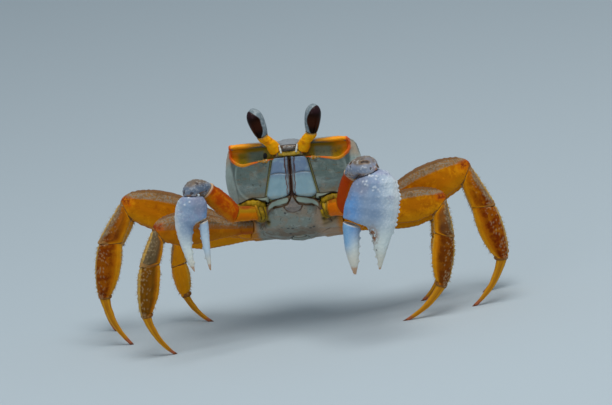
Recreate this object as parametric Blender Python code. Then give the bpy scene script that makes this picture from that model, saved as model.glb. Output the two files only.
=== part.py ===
"""Atlantic ghost crab, life size, standing on its eight walking legs with both claws hanging in front.

The crab faces -Y, its left side is at +X, and the ground is the plane Z = 0. Lengths are in
millimetres until a point becomes a vertex, and angles are in degrees until they are used.
"""
import math

import bmesh
import bpy
from mathutils import Matrix, Vector

MM = 0.001
GAP = 0.3
SLIVER = 0.03
SIDES = {"right": -1, "left": 1}

# The trunk: its own frame has the origin in the middle of the body, front at -Y, and is tipped nose up.
BODY_CENTRE = (2.87, 4.61, 46.3)
BODY_PITCH = -22.0
BODY_ROLL = 1.0
# The rim is level as far back as RIM_LEVEL_Y, then falls by the drop over the span.
RIM_FRONT_Z = 14.8
RIM_LEVEL_Y = -8.0
RIM_REAR_DROP = 3.4
RIM_REAR_SPAN = 27.0
CROWN_RISE = 2.1
HEM_FRONT = (-17.0, -4.6)
HEM_REAR = (17.0, -5.2)

# Half outlines of the carapace seen from above, from the middle of the front to the middle of the rear.
# The third point is the front corner, which is a crease.
RIM = ((0, -18.2), (7, -17.6), (19.5, -18.9), (21.0, -11), (21.2, -1), (18.4, 9.5), (13.5, 17.0), (0, 18.8))
WALL = ((0, -17.4), (7, -17.3), (18.6, -15.9), (22.2, -9.5), (23.0, -1), (20.2, 9.5), (14.6, 16.4), (0, 18.2))
HEM = ((0, -16.8), (7, -16.8), (18.0, -14.8), (20.0, -9), (20.2, -1), (17.8, 8.5), (13.0, 14.8), (0, 16.6))
CORNER = 2
WALL_LEVEL = 0.42
LEVELS = (0.0, 0.14, 0.28, 0.42, 0.56, 0.68, 0.8, 0.9, 1.0)
DOME_SCALES = (0.93, 0.78, 0.6, 0.4, 0.2)

# Sockets and forms of the face, in the trunk's frame.
ORBIT_CENTRE = (12.6, -18.9, 11.9)
ORBIT_HALF = (6.6, 3.6, 2.55)
ORBIT_TURN = -5.0
ORBIT_POWER = 3.2
EYE_ROOT = (4.6, -16.6, 12.8)
EYE_BEND = (6.3, -19.4, 14.9)
EYE_NECK = (8.2, -20.9, 17.1)
EYE_TOP = (10.0, -25.4, 25.5)
EYE_SWAY = {"right": 0.9, "left": 0.1}
STALK_RADII = (2.3, 1.75, 1.9)
BULB_RADII = (1.95, 2.85, 2.65)
# How full the bulb is, from its neck to its top.
BULB_FORM = (
    (0, 0), (0.12, 0.45), (0.3, 0.8), (0.5, 1.0), (0.7, 0.97), (0.85, 0.78), (0.95, 0.48), (1.0, 0.18),
)
ROSTRUM_ROOT = (0, -14.5, 15.3)
ROSTRUM_TIP = (0, -20.2, 12.3)
ROSTRUM_HALF = (3.6, 2.2)
ROSTRUM_THICK = (1.3, 0.8)
ROSTRUM_STATIONS = (0.0, 0.35, 0.7, 0.9, 1.0)
MOUTH_TOP_Z = 9.6
MOUTH_WIDE_Z = -3.0
MOUTH_FLOOR_Z = -4.0
MOUTH_OUTER = (5.4, 8.2)
MOUTH_INNER = 0.35
MOUTH_FACE_Y = -18.9
MOUTH_BACK_Y = -16.9
MOUTH_SEAM_Z = 5.4
ANTENNA_ROOT = (7.2, -16.4, 9.0)
ANTENNA_SPAN = (3.2, -3.4, -0.4)
ANTENNA_RADII = (0.75, 0.3)
ANTENNA_SHARES = (0.28, 0.3, 0.52, 0.55, 1.0)

# The underside, in the trunk's frame: y, lowest z, half width at the bottom, half width at the hem.
STERNUM = (
    (-16.2, -7.2, 4.0, 8.0),
    (-13.0, -9.6, 7.0, 13.0),
    (-8.0, -12.4, 10.5, 16.4),
    (-2.0, -14.6, 13.0, 17.0),
    (4.0, -15.0, 13.6, 16.6),
    (10.0, -14.0, 12.0, 14.8),
    (14.5, -12.2, 9.0, 12.0),
    (16.2, -11.0, 7.0, 9.0),
)
LID_SINK = 1.0
COXA_STATIONS = (0, 0.3, 0.6, 0.8, 1)
LID_HALF = (26.0, 20.0)
ABDOMEN_PATH = ((-1.5, -13.9), (2.5, -14.4), (7.0, -14.2), (11.8, -13.1), (15.4, -11.6), (17.6, -9.0))
ABDOMEN_HALF = (1.5, 3.0, 3.6, 4.6, 6.2, 6.6)
ABDOMEN_THICK = 1.7

# Walking legs, front pair to rear pair: coxa on the left side in the trunk's frame, and the lengths of
# merus with ischium, carpus, propodus and dactyl.
COXA = {1: (15.5, -4.5, -10.8), 2: (16.2, 1.7, -11.3), 3: (15.8, 7.9, -11.3), 4: (12.8, 13.2, -10.8)}
LENGTHS = {
    1: (33.0, 10.8, 17.3, 17.1),
    2: (43.4, 13.4, 19.2, 18.9),
    3: (45.6, 14.0, 16.6, 15.0),
    4: (34.9, 9.0, 10.8, 12.8),
}
# How each leg is held: swing to the rear, then the slope of merus, carpus and propodus.
POSE = {
    ("right", 1): (-23, 6, -64.5, -80),
    ("right", 2): (0, 16, -56.5, -78.5),
    ("right", 3): (15, 11, -50, -76),
    ("right", 4): (23, -4.5, -81, -98),
    ("left", 1): (9, 1.0, -87, -101),
    ("left", 2): (11, 15.4, -67, -79),
    ("left", 3): (25, 11, -68, -73),
    ("left", 4): (24, -2.5, -87, -94),
}
# Half heights above and below the axis and half thickness, each at the near end, middle and far end.
MERUS = ((2.6, 6.7, 2.9), (2.6, 6.5, 2.6), (2.3, 2.6, 2.1))
CARPUS = ((2.4, 3.0, 3.2), (2.7, 3.9, 4.2), (2.1, 2.5, 2.2))
PROPODUS = ((3.2, 3.8, 1.9), (4.2, 4.5, 2.0), (2.2, 2.4, 1.5))
DACTYL = ((1.8, 1.4, 0.5), (1.8, 1.4, 0.45), (1.3, 1.0, 0.45))
MERUS_BOW = 1.4
MERUS_STATIONS = (0, 0.1, 0.15, 0.24, 0.36, 0.5, 0.66, 0.8, 0.9, 0.96, 1)
CARPUS_STATIONS = (0, 0.15, 0.35, 0.6, 0.85, 1)
PROPODUS_STATIONS = (0, 0.15, 0.35, 0.6, 0.82, 0.95, 1)
DACTYL_STATIONS = (0, 0.12, 0.3, 0.5, 0.68, 0.84, 0.94, 1)
LEG_SCALE = {1: 0.86, 2: 1.0, 3: 0.95, 4: 0.72}
ISCHIUM_SHARE = 0.14
# The joint below the carpus slants: it lies further down on the outer side.
CUFF_TURN = 20.0
DACTYL_BOW = 1.6

# Claws: coxa, elbow, wrist and top of the palm, from the ground point under the trunk, and the hand's hang.
ARMS = {
    "right": ((-13.0, -15.2, 44.4), (-19.6, -20.6, 46.0), (-27.4, -26.0, 56.4), (-32.0, -31.0, 56.2)),
    "left": ((12.6, -15.2, 43.7), (17.4, -20.0, 44.8), (22.2, -24.6, 56.6), (28.4, -31.0, 58.0)),
}
# Half heights at the near end, middle and far end, and half thickness, of ischium and merus.
ARM_SIZES = {
    "right": (((2.3, 2.4, 2.6), 2.3), ((2.7, 3.3, 2.7), 2.6)),
    "left": (((2.6, 2.8, 2.9), 2.6), ((2.9, 3.6, 3.0), 2.9)),
}
# The wrist: rise and fall at the near end, middle and far end, half thickness, and pull of its arch.
WRISTS = {
    "right": ((2.4, 2.6, 2.4), (2.2, 2.0, 2.0), 3.2, 8.5),
    "left": ((2.7, 2.9, 2.8), (2.3, 2.6, 2.4), 4.4, 11.0),
}
WRIST_STATIONS = (0, 0.14, 0.3, 0.5, 0.7, 0.86, 1)
HAND_TILT = {"right": -2.5, "left": 6.4}
HAND_LEAN = {"right": -4.5, "left": -5.0}
# Turn of the first sections of the palm, whose outer shoulder rides above the wrist joint.
SHOULDER_TURN = {"right": (8, 4), "left": (24, 13, 4)}
# The moving finger's joint slants down to the fixed finger.
KNUCKLE_TURN = {"right": (-12, -8), "left": (-18, -10)}
# Outline of palm and fixed finger down from the wrist: z, inner edge, outer edge, half thickness.
PALMS = {
    "right": (
        (-0.15, -2.4, 2.2, 2.4), (-0.8, -4.2, 4.0, 2.9), (-2.8, -5.0, 5.5, 3.2), (-5.6, -4.9, 6.2, 3.3),
        (-8.2, -4.3, 6.6, 3.0), (-9.9, 0.4, 6.7, 2.5), (-13.2, 1.5, 6.4, 2.0), (-17.2, 2.3, 5.7, 1.6),
        (-22.0, 2.4, 4.6, 1.0), (-25.6, 2.5, 3.1, 0.3),
    ),
    "left": (
        (-0.15, -3.0, 3.2, 3.0), (-0.8, -4.6, 6.0, 3.9), (-3.0, -6.0, 8.4, 4.8), (-7.4, -7.8, 9.5, 5.4),
        (-11.4, -8.9, 9.4, 5.3), (-15.2, -9.4, 8.6, 4.6), (-17.9, -1.4, 7.9, 3.8), (-21.0, 0.2, 7.0, 3.1),
        (-25.6, 1.2, 5.5, 2.3), (-29.2, 2.0, 4.4, 1.4), (-32.4, 2.7, 3.4, 0.35),
    ),
}
FINGERS = {
    "right": (
        (-9.1, -4.5, -1.5, 2.0), (-13.0, -4.2, -1.2, 1.6), (-18.4, -3.7, -1.4, 1.3), (-22.8, -3.3, -1.9, 0.8),
        (-25.9, -2.9, -2.4, 0.3),
    ),
    "left": (
        (-17.3, -9.5, -3.2, 3.3), (-20.6, -9.2, -3.6, 2.9), (-25.4, -8.6, -3.8, 2.4),
        (-30.2, -7.2, -4.0, 1.6), (-34.2, -5.6, -4.7, 0.35),
    ),
}
MARGIN_TEETH = {"right": 0, "left": 13}
MARGIN_SPAN = (-3.0, -20.0)
EDGE_TEETH = {"right": 4, "left": 5}
TOOTH_RADIUS = 0.75
TOOTH_RISE = 0.7


def clear_scene():
    for item in list(bpy.data.objects):
        bpy.data.objects.remove(item, do_unlink=True)


def make_collection(name):
    group = bpy.data.collections.new(name)
    bpy.context.scene.collection.children.link(group)
    return group


def make_material(name, colour, roughness):
    finish = bpy.data.materials.new(name)
    finish.use_nodes = True
    shader = finish.node_tree.nodes["Principled BSDF"]
    shader.inputs["Base Color"].default_value = (*colour, 1.0)
    shader.inputs["Roughness"].default_value = roughness
    shader.inputs["Metallic"].default_value = 0.0
    return finish


def make_frame(name, location, rotation, parent=None):
    """An empty that carries a leg, a hand or the trunk."""
    frame = bpy.data.objects.new(name, None)
    frame.location = Vector(location) * MM
    frame.rotation_euler = [math.radians(angle) for angle in rotation]
    frame.parent = parent
    parts.objects.link(frame)
    return frame


def make_object(name, rings, finish=None, parent=None, group=None):
    """Skins a row of sections with a closed surface and makes it an object."""
    bm = bmesh.new()
    loops = [[bm.verts.new(point * MM) for point in ring] for ring in rings]
    count = len(loops[0])
    for near, far in zip(loops, loops[1:]):
        for i in range(count):
            j = (i + 1) % count
            bm.faces.new((near[i], near[j], far[j], far[i]))
    for loop in (loops[0], loops[-1]):
        middle = bm.verts.new(sum((vert.co for vert in loop), Vector()) / count)
        for i in range(count):
            bm.faces.new((loop[i], loop[(i + 1) % count], middle))
    bmesh.ops.triangulate(bm, faces=bm.faces)
    bmesh.ops.recalc_face_normals(bm, faces=bm.faces)
    if bm.calc_volume(signed=True) < 0:
        bmesh.ops.reverse_faces(bm, faces=bm.faces)
    mesh = bpy.data.meshes.new(name)
    bm.to_mesh(mesh)
    bm.free()
    item = bpy.data.objects.new(name, mesh)
    (group or parts).objects.link(item)
    item.parent = parent
    if finish:
        mesh.materials.append(finish)
    mesh.shade_smooth()
    mesh.set_sharp_from_angle(angle=math.radians(35))
    return item


def swell(share, start=0.0, skew=1.0, power=0.8):
    """Rises from 0 at the start to 1, at the middle or with a skew further along, and falls to 0."""
    along = max(0.0, (share - start) / (1 - start))
    return math.sin(math.pi * along ** skew) ** power


def three_way(share, sizes, *form):
    """A size that runs from near to far and swells to the middle value."""
    near, middle, far = sizes
    return near + (far - near) * share + (middle - (near + far) / 2) * swell(share, *form)


def section(centre, normal, side, rise, fall, half, power=2.4, sides=12):
    """A closed oval across the normal: rise and fall along up, half to each side."""
    side = (side - normal * side.dot(normal)).normalized()
    up = side.cross(normal)
    ring = []
    for i in range(sides):
        angle = 2 * math.pi * (i + 0.5) / sides
        across = math.copysign(abs(math.cos(angle)) ** (2 / power), math.cos(angle))
        along = math.copysign(abs(math.sin(angle)) ** (2 / power), math.sin(angle))
        reach = rise if along > 0 else fall
        ring.append(centre + side * across * half + up * along * reach)
    return ring


def limb_rings(start, end, start_normal, end_normal, side, sizes, stations, form=(), bow=0.0):
    """Sections of a limb piece whose end faces lie in its joint planes, half a gap back from each."""
    axis = (end - start).normalized()
    near = start + start_normal * (GAP / 2)
    far = end - end_normal * (GAP / 2)
    lift = side.cross(axis)
    rings = []
    for share in stations:
        turn = abs(2 * share - 1) ** 2
        plane = axis.lerp(start_normal if share < 0.5 else end_normal, turn).normalized()
        stretch = 1 / max(0.4, plane.dot(axis))
        centre = near.lerp(far, share) + lift * bow * swell(share, *form)
        rise, fall, half = (three_way(share, size, *form) for size in sizes)
        rings.append(section(centre, plane, side, rise * stretch, fall * stretch, half))
    return rings


def between(first, second):
    return (first + second).normalized()


def join(target, pieces):
    """Fuses loose pieces with the target and keeps one closed surface."""
    if not pieces:
        return
    group = make_collection(target.name + "_pieces")
    for piece in pieces:
        for holder in list(piece.users_collection):
            holder.objects.unlink(piece)
        group.objects.link(piece)
    fuse = target.modifiers.new("join", "BOOLEAN")
    fuse.operation = "UNION"
    fuse.operand_type = "COLLECTION"
    fuse.collection = group
    fuse.solver = "EXACT"
    apply_modifiers(target)
    for piece in pieces:
        bpy.data.objects.remove(piece, do_unlink=True)
    bpy.data.collections.remove(group)


def cut(target, cutter):
    cutter.hide_render = True
    cutter.display_type = "WIRE"
    carve = target.modifiers.new("cut", "BOOLEAN")
    carve.operation = "DIFFERENCE"
    carve.object = cutter
    carve.solver = "EXACT"
    apply_modifiers(target)


def apply_modifiers(item):
    bpy.context.view_layer.update()
    graph = bpy.context.evaluated_depsgraph_get()
    mesh = bpy.data.meshes.new_from_object(item.evaluated_get(graph))
    item.modifiers.clear()
    item.data = mesh
    clean(mesh)
    mesh.shade_smooth()
    mesh.set_sharp_from_angle(angle=math.radians(35))


def clean(mesh):
    """Closes the slivers of a join or a cut and drops the scraps beside the main surface."""
    bm = bmesh.new()
    bm.from_mesh(mesh)
    bmesh.ops.dissolve_degenerate(bm, dist=SLIVER * MM, edges=bm.edges)
    bmesh.ops.triangulate(bm, faces=bm.faces)
    left = set(bm.verts)
    islands = []
    while left:
        island = set()
        reach = [left.pop()]
        while reach:
            vert = reach.pop()
            island.add(vert)
            for edge in vert.link_edges:
                other = edge.other_vert(vert)
                if other in left:
                    left.remove(other)
                    reach.append(other)
        islands.append(island)
    islands.sort(key=len)
    for island in islands[:-1]:
        bmesh.ops.delete(bm, geom=list(island), context="VERTS")
    bm.to_mesh(mesh)
    bm.free()


def trunk_point(point):
    return trunk_matrix @ Vector(point)


def smooth_outline(marks, steps=4):
    """Half outline through the marks: straight along the front, curved from the corner to the rear."""
    points = []
    for i, (here, there) in enumerate(zip(marks, marks[1:])):
        here, there = Vector(here), Vector(there)
        if i < CORNER:
            before, after = here * 2 - there, there * 2 - here
        else:
            before = Vector(marks[i - 1]) if i > CORNER else here * 2 - there
            after = Vector(marks[i + 2]) if i + 2 < len(marks) else Vector((-marks[-2][0], marks[-2][1]))
        for k in range(steps):
            s = k / steps
            spline = (
                here * 2
                + (there - before) * s
                + (before * 2 - here * 5 + there * 4 - after) * s ** 2
                + (here * 3 - before - there * 3 + after) * s ** 3
            )
            points.append(spline / 2)
    points.append(Vector(marks[-1]))
    return points


def hem_height(y):
    (front, low), (rear, high) = HEM_FRONT, HEM_REAR
    return low + (high - low) * (y - front) / (rear - front)


def rim_height(y):
    share = max(0.0, (y - RIM_LEVEL_Y) / RIM_REAR_SPAN)
    return RIM_FRONT_Z - RIM_REAR_DROP * share ** 2


def carapace_rings():
    """Level outlines from the hem up the walls to the rim, then over the domed back."""
    hem, wall, rim = (smooth_outline(marks) for marks in (HEM, WALL, RIM))
    rings = []
    for level in LEVELS:
        low = (level - WALL_LEVEL) * (level - 1) / WALL_LEVEL
        mid = level * (1 - level) / (WALL_LEVEL * (1 - WALL_LEVEL))
        top = level * (level - WALL_LEVEL) / (1 - WALL_LEVEL)
        half = []
        for a, b, c in zip(hem, wall, rim):
            flat = a * low + b * mid + c * top
            base = hem_height(flat.y)
            half.append(Vector((flat.x, flat.y, base + (rim_height(flat.y) - base) * level)))
        rings.append(half)
    for scale in DOME_SCALES:
        half = []
        for point in rings[len(LEVELS) - 1]:
            flat = point.xy * scale
            half.append(Vector((*flat, rim_height(flat.y) + CROWN_RISE * (1 - scale ** 3))))
        rings.append(half)
    return [half + [Vector((-p.x, p.y, p.z)) for p in reversed(half[1:-1])] for half in rings]


def ball_rings(centre, halves, power, turn, stations=8, sides=16):
    """A rounded block, its long way along X, turned about Y."""
    spin = Matrix.Rotation(math.radians(turn), 3, "Y")
    rings = []
    for k in range(stations + 1):
        angle = math.pi * (k / stations - 0.5) * 0.97
        reach = math.copysign(abs(math.sin(angle)) ** (2 / power), math.sin(angle))
        size = abs(math.cos(angle)) ** (2 / power)
        middle = Vector((reach * halves[0], 0, 0))
        ring = section(middle, Vector((1, 0, 0)), Vector((0, 1, 0)), halves[2] * size, halves[2] * size,
                       halves[1] * size, power, sides)
        rings.append([spin @ point + Vector(centre) for point in ring])
    return rings


def rod_rings(points, radii, grow=0.0, sides=12):
    """Round sections along a bent line, each across the mean direction of its neighbours."""
    points = [Vector(point) for point in points]
    rings = []
    for i, point in enumerate(points):
        ahead = points[min(i + 1, len(points) - 1)] - points[max(i - 1, 0)]
        normal = ahead.normalized()
        side = normal.cross(Vector((0, 0, 1))).normalized()
        radius = radii[i] + grow
        rings.append(section(point, normal, side, radius, radius, radius, 2.0, sides))
    return rings


def mirrored(point, sign):
    return Vector((point[0] * sign, point[1], point[2]))


def build_carapace():
    shell = make_object("carapace", carapace_rings(), shell_finish, trunk)
    root, tip = Vector(ROSTRUM_ROOT), Vector(ROSTRUM_TIP)
    rings = []
    heading = (tip - root).normalized()
    for share in ROSTRUM_STATIONS:
        half = ROSTRUM_HALF[0] + (ROSTRUM_HALF[1] - ROSTRUM_HALF[0]) * share
        half *= 1 - 0.35 * share ** 8
        thick = ROSTRUM_THICK[0] + (ROSTRUM_THICK[1] - ROSTRUM_THICK[0]) * share
        rings.append(section(root.lerp(tip, share), heading, Vector((1, 0, 0)), thick, thick, half))
    join(shell, [make_object("rostrum", rings, shell_finish, trunk)])
    for name, sign in SIDES.items():
        centre = mirrored(ORBIT_CENTRE, sign)
        hollow = ball_rings(centre, ORBIT_HALF, ORBIT_POWER, ORBIT_TURN * -sign)
        cut(shell, make_object("cut_orbit_" + name, hollow, None, trunk, cutters))
        socket = make_object("cut_socket_" + name, stalk_rings(sign, GAP), None, trunk, cutters)
        cut(shell, socket)
        base = make_object("cut_antenna_" + name, antenna_rings(sign, GAP), None, trunk, cutters)
        cut(shell, base)
    mouth = make_object("cut_mouth", mouth_rings(), None, trunk, cutters)
    cut(shell, mouth)


def mouth_rings():
    """The opening that the outer mouthparts close, wider at its foot."""
    rings = []
    upper, lower = MOUTH_OUTER
    for z, half in ((MOUTH_WIDE_Z - 6, lower), (MOUTH_WIDE_Z, lower), (MOUTH_TOP_Z, upper)):
        reach = half + GAP * 1.5
        back, front = MOUTH_BACK_Y + GAP, MOUTH_FACE_Y - 6
        rings.append([Vector((x, y, z + (GAP if z > 0 else 0))) for x, y in
                      ((-reach, back), (reach, back), (reach, front), (-reach, front))])
    return rings


def build_maxilliped(name, sign):
    """One outer mouthpart: a long lower plate and a short upper one, parted by a seam."""
    rings = []
    seam = [MOUTH_SEAM_Z + away for away in (-0.7, 0, 0.7)]
    for z in (MOUTH_FLOOR_Z, -3.4, -1.0, 2.2, *seam, 8.2, MOUTH_TOP_Z):
        share = max(0.0, min(1.0, (MOUTH_TOP_Z - z) / (MOUTH_TOP_Z - MOUTH_WIDE_Z)))
        outer = MOUTH_OUTER[0] + (MOUTH_OUTER[1] - MOUTH_OUTER[0]) * share
        pinch = 0.35 if z == MOUTH_SEAM_Z else 0.0
        ends = 0.5 if z in (MOUTH_FLOOR_Z, MOUTH_TOP_Z) else 0.0
        half = (outer - MOUTH_INNER) / 2 - ends
        deep = (MOUTH_BACK_Y - MOUTH_FACE_Y) / 2
        centre = Vector((sign * (outer + MOUTH_INNER) / 2, MOUTH_BACK_Y - deep, z))
        ring = section(centre, Vector((0, 0, -1)), Vector((1, 0, 0)), deep - pinch - ends, deep, half, 3.0)
        rings.append(ring)
    make_object("maxilliped_" + name, rings, mouth_finish, trunk)


def eye_top(sign):
    """The tip of a bulb, which sways outward by its own amount."""
    sway = EYE_SWAY["left" if sign > 0 else "right"]
    return mirrored((EYE_TOP[0] + sway, EYE_TOP[1], EYE_TOP[2]), sign)


def stalk_rings(sign, grow=0.0):
    """The eye's stalk from its socket up to the neck, bent where it leaves the front."""
    root, neck = mirrored(EYE_ROOT, sign), mirrored(EYE_NECK, sign)
    heading = (eye_top(sign) - neck).normalized()
    bend = mirrored(EYE_BEND, sign)
    near = root - (bend - root).normalized() * grow
    points = (near, root.lerp(bend, 0.5), bend, neck - heading * 1.2, neck - heading * (GAP / 2))
    radii = (STALK_RADII[0], STALK_RADII[0] * 0.9, STALK_RADII[1], STALK_RADII[1], STALK_RADII[2])
    return rod_rings(points, radii, grow)


def build_eye(name, sign):
    make_object("eyestalk_" + name, stalk_rings(sign), stalk_finish, trunk)
    neck, top = mirrored(EYE_NECK, sign), eye_top(sign)
    heading = (top - neck).normalized()
    neck = neck + heading * (GAP / 2)
    side = heading.cross(Vector((0, 0, 1))).normalized()
    rings = []
    thin, thick, deepest = BULB_RADII
    for share, size in BULB_FORM:
        width = thin + (thick - thin) * size if share < 0.5 else thick * size
        deep = width * deepest / thick
        rings.append(section(neck.lerp(top, share), heading, side, width, width, deep, 2.0, 14))
    make_object("eye_" + name, rings, eye_finish, trunk)


def antenna_rings(sign, grow=0.0):
    root = mirrored(ANTENNA_ROOT, sign)
    span = mirrored(ANTENNA_SPAN, sign)
    near = root - span.normalized() * grow
    thick, thin = ANTENNA_RADII
    points = [near] + [root + span * share for share in ANTENNA_SHARES]
    return rod_rings(points, (thick, thick, thick * 0.8, thick * 0.75, thin * 1.2, thin), grow, 8)


def build_sternum():
    """The breastplate: sections from front to rear, flat against the hem of the carapace."""
    rings = []
    for y, low, half, top_half in STERNUM:
        top = hem_height(y) + LID_SINK
        waist = low + (top - low) * 0.55
        outline = ((0, low), (half * 0.5, low + 0.15), (half * 0.9, low + 1.2), (half * 1.08, waist),
                   (top_half, top - 0.6), (top_half - 0.5, top), (top_half * 0.5, top))
        right = [Vector((x, y, z)) for x, z in outline]
        rings.append(right + [Vector((0, y, top))] + [Vector((-p.x, p.y, p.z)) for p in reversed(right[1:])])
    plate = make_object("sternum", rings, sternum_finish, trunk)
    bosses = []
    for (side, pair), frame in leg_frames.items():
        slope = leg_directions(side, pair)[0]
        size = [[value * LEG_SCALE[pair] * 1.12 for value in sizes[:1] * 3] for sizes in MERUS]
        inner = slope * -9.0
        inner.z = 0.6
        rings = limb_rings(inner, Vector(), slope, slope, FLAT, size, COXA_STATIONS)
        bosses.append(make_object("coxa", rings, sternum_finish, frame))
    for name, sign in SIDES.items():
        root, elbow = Vector(ARMS[name][0]), Vector(ARMS[name][1])
        heading = (elbow - root).normalized()
        inner = root - heading * 7.0
        height = ARM_SIZES[name][0][0][0]
        size = [(height, height * 1.08, height)] * 3
        rings = limb_rings(inner, root, heading, heading, side_of(inner, root), size, COXA_STATIONS)
        bosses.append(make_object("coxa", rings, sternum_finish, stance))
    join(plate, bosses)
    cut(plate, make_object("cut_lid", lid_rings(), None, trunk, cutters))
    cut(plate, make_object("cut_abdomen", abdomen_rings(GAP), None, trunk, cutters))


def lid_rings():
    """A flat block over the breastplate that leaves the gap under the hem of the carapace."""
    half, reach = LID_HALF
    rings = []
    for rise in (-GAP, 12.0):
        rings.append([Vector((x, y, hem_height(y) + rise)) for x, y in
                      ((-half, -reach), (half, -reach), (half, reach), (-half, reach))])
    return rings


def side_of(start, end):
    """A level direction across a limb piece."""
    return (end - start).cross(Vector((0, 0, 1))).normalized()


def abdomen_rings(grow=0.0):
    """The narrow tail flap folded under the body, its last end up behind."""
    rings = []
    last = len(ABDOMEN_PATH) - 1
    for i, ((y, z), half) in enumerate(zip(ABDOMEN_PATH, ABDOMEN_HALF)):
        before, after = ABDOMEN_PATH[max(i - 1, 0)], ABDOMEN_PATH[min(i + 1, last)]
        normal = Vector((0, after[0] - before[0], after[1] - before[1])).normalized()
        centre = Vector((0, y, z))
        if grow and i in (0, last):
            centre += normal * (grow if i else -grow)
        rise = ABDOMEN_THICK / 2 + grow
        fall = ABDOMEN_THICK / 2 + (6 if grow else 0)
        rings.append(section(centre, normal, Vector((1, 0, 0)), rise, fall, half + grow, 4.0))
    return rings


def leg_directions(side, pair):
    """Directions of merus, carpus and propodus in the upright plane of the leg, X outward."""
    slopes = POSE[side, pair][1:]
    return [Vector((math.cos(math.radians(slope)), 0, math.sin(math.radians(slope)))) for slope in slopes]


def make_leg_frame(side, pair):
    """An empty at the coxa, its X outward along the leg."""
    swing = POSE[side, pair][0]
    place = trunk_point(mirrored(COXA[pair], SIDES[side]))
    turn = swing if side == "left" else 180 - swing
    return make_frame(f"leg_{side}_{pair}_frame", place, (0, 0, turn))


def build_leg(side, pair):
    frame = leg_frames[side, pair]
    directions = leg_directions(side, pair)
    joints = [Vector()]
    for length, direction in zip(LENGTHS[pair], directions):
        joints.append(joints[-1] + direction * length)
    ground = -trunk_point(mirrored(COXA[pair], SIDES[side])).z
    heel = joints[-1]
    drop = heel.z - ground
    reach = math.sqrt(max(LENGTHS[pair][3] ** 2 - drop ** 2, 4.0))
    tip = Vector((heel.x - reach, 0, ground))
    last = (tip - heel).normalized()
    scale = LEG_SCALE[pair]
    cuff = Matrix.Rotation(math.radians(CUFF_TURN), 3, "Y")
    normals = [directions[0], between(directions[0], directions[1]),
               cuff @ between(directions[1], directions[2]), between(directions[2], last)]
    kinds = (("merus", MERUS, MERUS_STATIONS, (ISCHIUM_SHARE, 1.7, 0.75), MERUS_BOW),
             ("carpus", CARPUS, CARPUS_STATIONS, (), 0.0),
             ("propodus", PROPODUS, PROPODUS_STATIONS, (), 0.0))
    for i, (kind, sizes, stations, form, bow) in enumerate(kinds):
        ends = joints[i], joints[i + 1], normals[i], normals[i + 1]
        scaled = [[value * scale for value in size] for size in sizes]
        rings = limb_rings(*ends, FLAT, scaled, stations, form, bow * scale)
        make_object(f"leg_{side}_{pair}_{kind}", rings, leg_finish, frame)
    make_object(f"leg_{side}_{pair}_dactyl", dactyl_rings(heel, tip, normals[3], scale), leg_finish, frame)


def dactyl_rings(heel, tip, heel_normal, scale):
    """The bowed claw of a leg, which stands on a small flat at the ground."""
    chord = (tip - heel).normalized()
    length = (tip - heel).length
    bow = DACTYL_BOW * scale * 4
    out = FLAT.cross(chord)
    down = Vector((0, 0, -1))
    rings = []
    for share in DACTYL_STATIONS:
        centre = heel.lerp(tip, share) + out * bow * share * (1 - share)
        tangent = (chord + out * (bow * (1 - 2 * share) / length)).normalized()
        plane = tangent
        if share == 0:
            plane = heel_normal
            centre += heel_normal * (GAP / 2)
        if share == 1:
            plane = down
        stretch = 1 / max(0.45, plane.dot(tangent))
        sizes = [size[0] + (size[2] - size[0]) * share ** 0.85 for size in DACTYL]
        factor = scale + (1 - scale) * share
        rise, fall, half = (size * factor for size in sizes)
        ring = section(centre, plane, FLAT, rise * stretch, fall * stretch, half, 2.2, 10)
        rings.append([Vector((point.x, point.y, max(point.z, tip.z))) for point in ring])
    return rings


def build_arm(name):
    """Ischium, merus and arched carpus of a claw, from the coxa to the top of the palm."""
    points = [Vector(point) for point in ARMS[name]]
    upper, fore = ((b - a).normalized() for a, b in zip(points[:3], points[1:3]))
    normals = [upper, between(upper, fore), fore]
    for i, kind in enumerate(("ischium", "merus")):
        heights, half = ARM_SIZES[name][i]
        side = side_of(points[i], points[i + 1])
        sizes = (heights, heights, (half * 0.92, half, half * 0.95))
        rings = limb_rings(points[i], points[i + 1], normals[i], normals[i + 1], side, sizes, CARPUS_STATIONS)
        make_object(f"claw_{name}_{kind}", rings, arm_finish, stance)
    make_object(f"claw_{name}_carpus", wrist_rings(name, points[2], points[3], fore), claw_finish, stance)


def wrist_rings(name, start, end, start_pull):
    """The wrist arches up from the merus and over, down to the palm."""
    rises, falls, half, pull = WRISTS[name]
    turn = Matrix.Rotation(math.radians(-SHOULDER_TURN[name][0] * SIDES[name]), 3, "Y")
    palm_axis = hand_rotation(name) @ turn @ Vector((0, 0, -1))
    near, far = start_pull * pull, palm_axis * pull
    side = start_pull.cross(palm_axis).normalized()
    start = start + start_pull * (GAP / 2)
    end = end - palm_axis * (GAP / 2)
    rings = []
    for share in WRIST_STATIONS:
        square, cube = share ** 2, share ** 3
        centre = (start * (2 * cube - 3 * square + 1) + near * (cube - 2 * square + share)
                  + end * (3 * square - 2 * cube) + far * (cube - square))
        normal = (start * (6 * square - 6 * share) + near * (3 * square - 4 * share + 1)
                  + end * (6 * share - 6 * square) + far * (3 * square - 2 * share)).normalized()
        width = three_way(share, (half * 0.75, half, half * 0.7))
        rings.append(section(centre, normal, -side, three_way(share, rises), three_way(share, falls), width))
    return rings


def hand_rotation(name):
    lean, tilt = math.radians(HAND_LEAN[name]), math.radians(HAND_TILT[name])
    return Matrix.Rotation(tilt, 3, "Y") @ Matrix.Rotation(lean, 3, "X")


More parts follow.
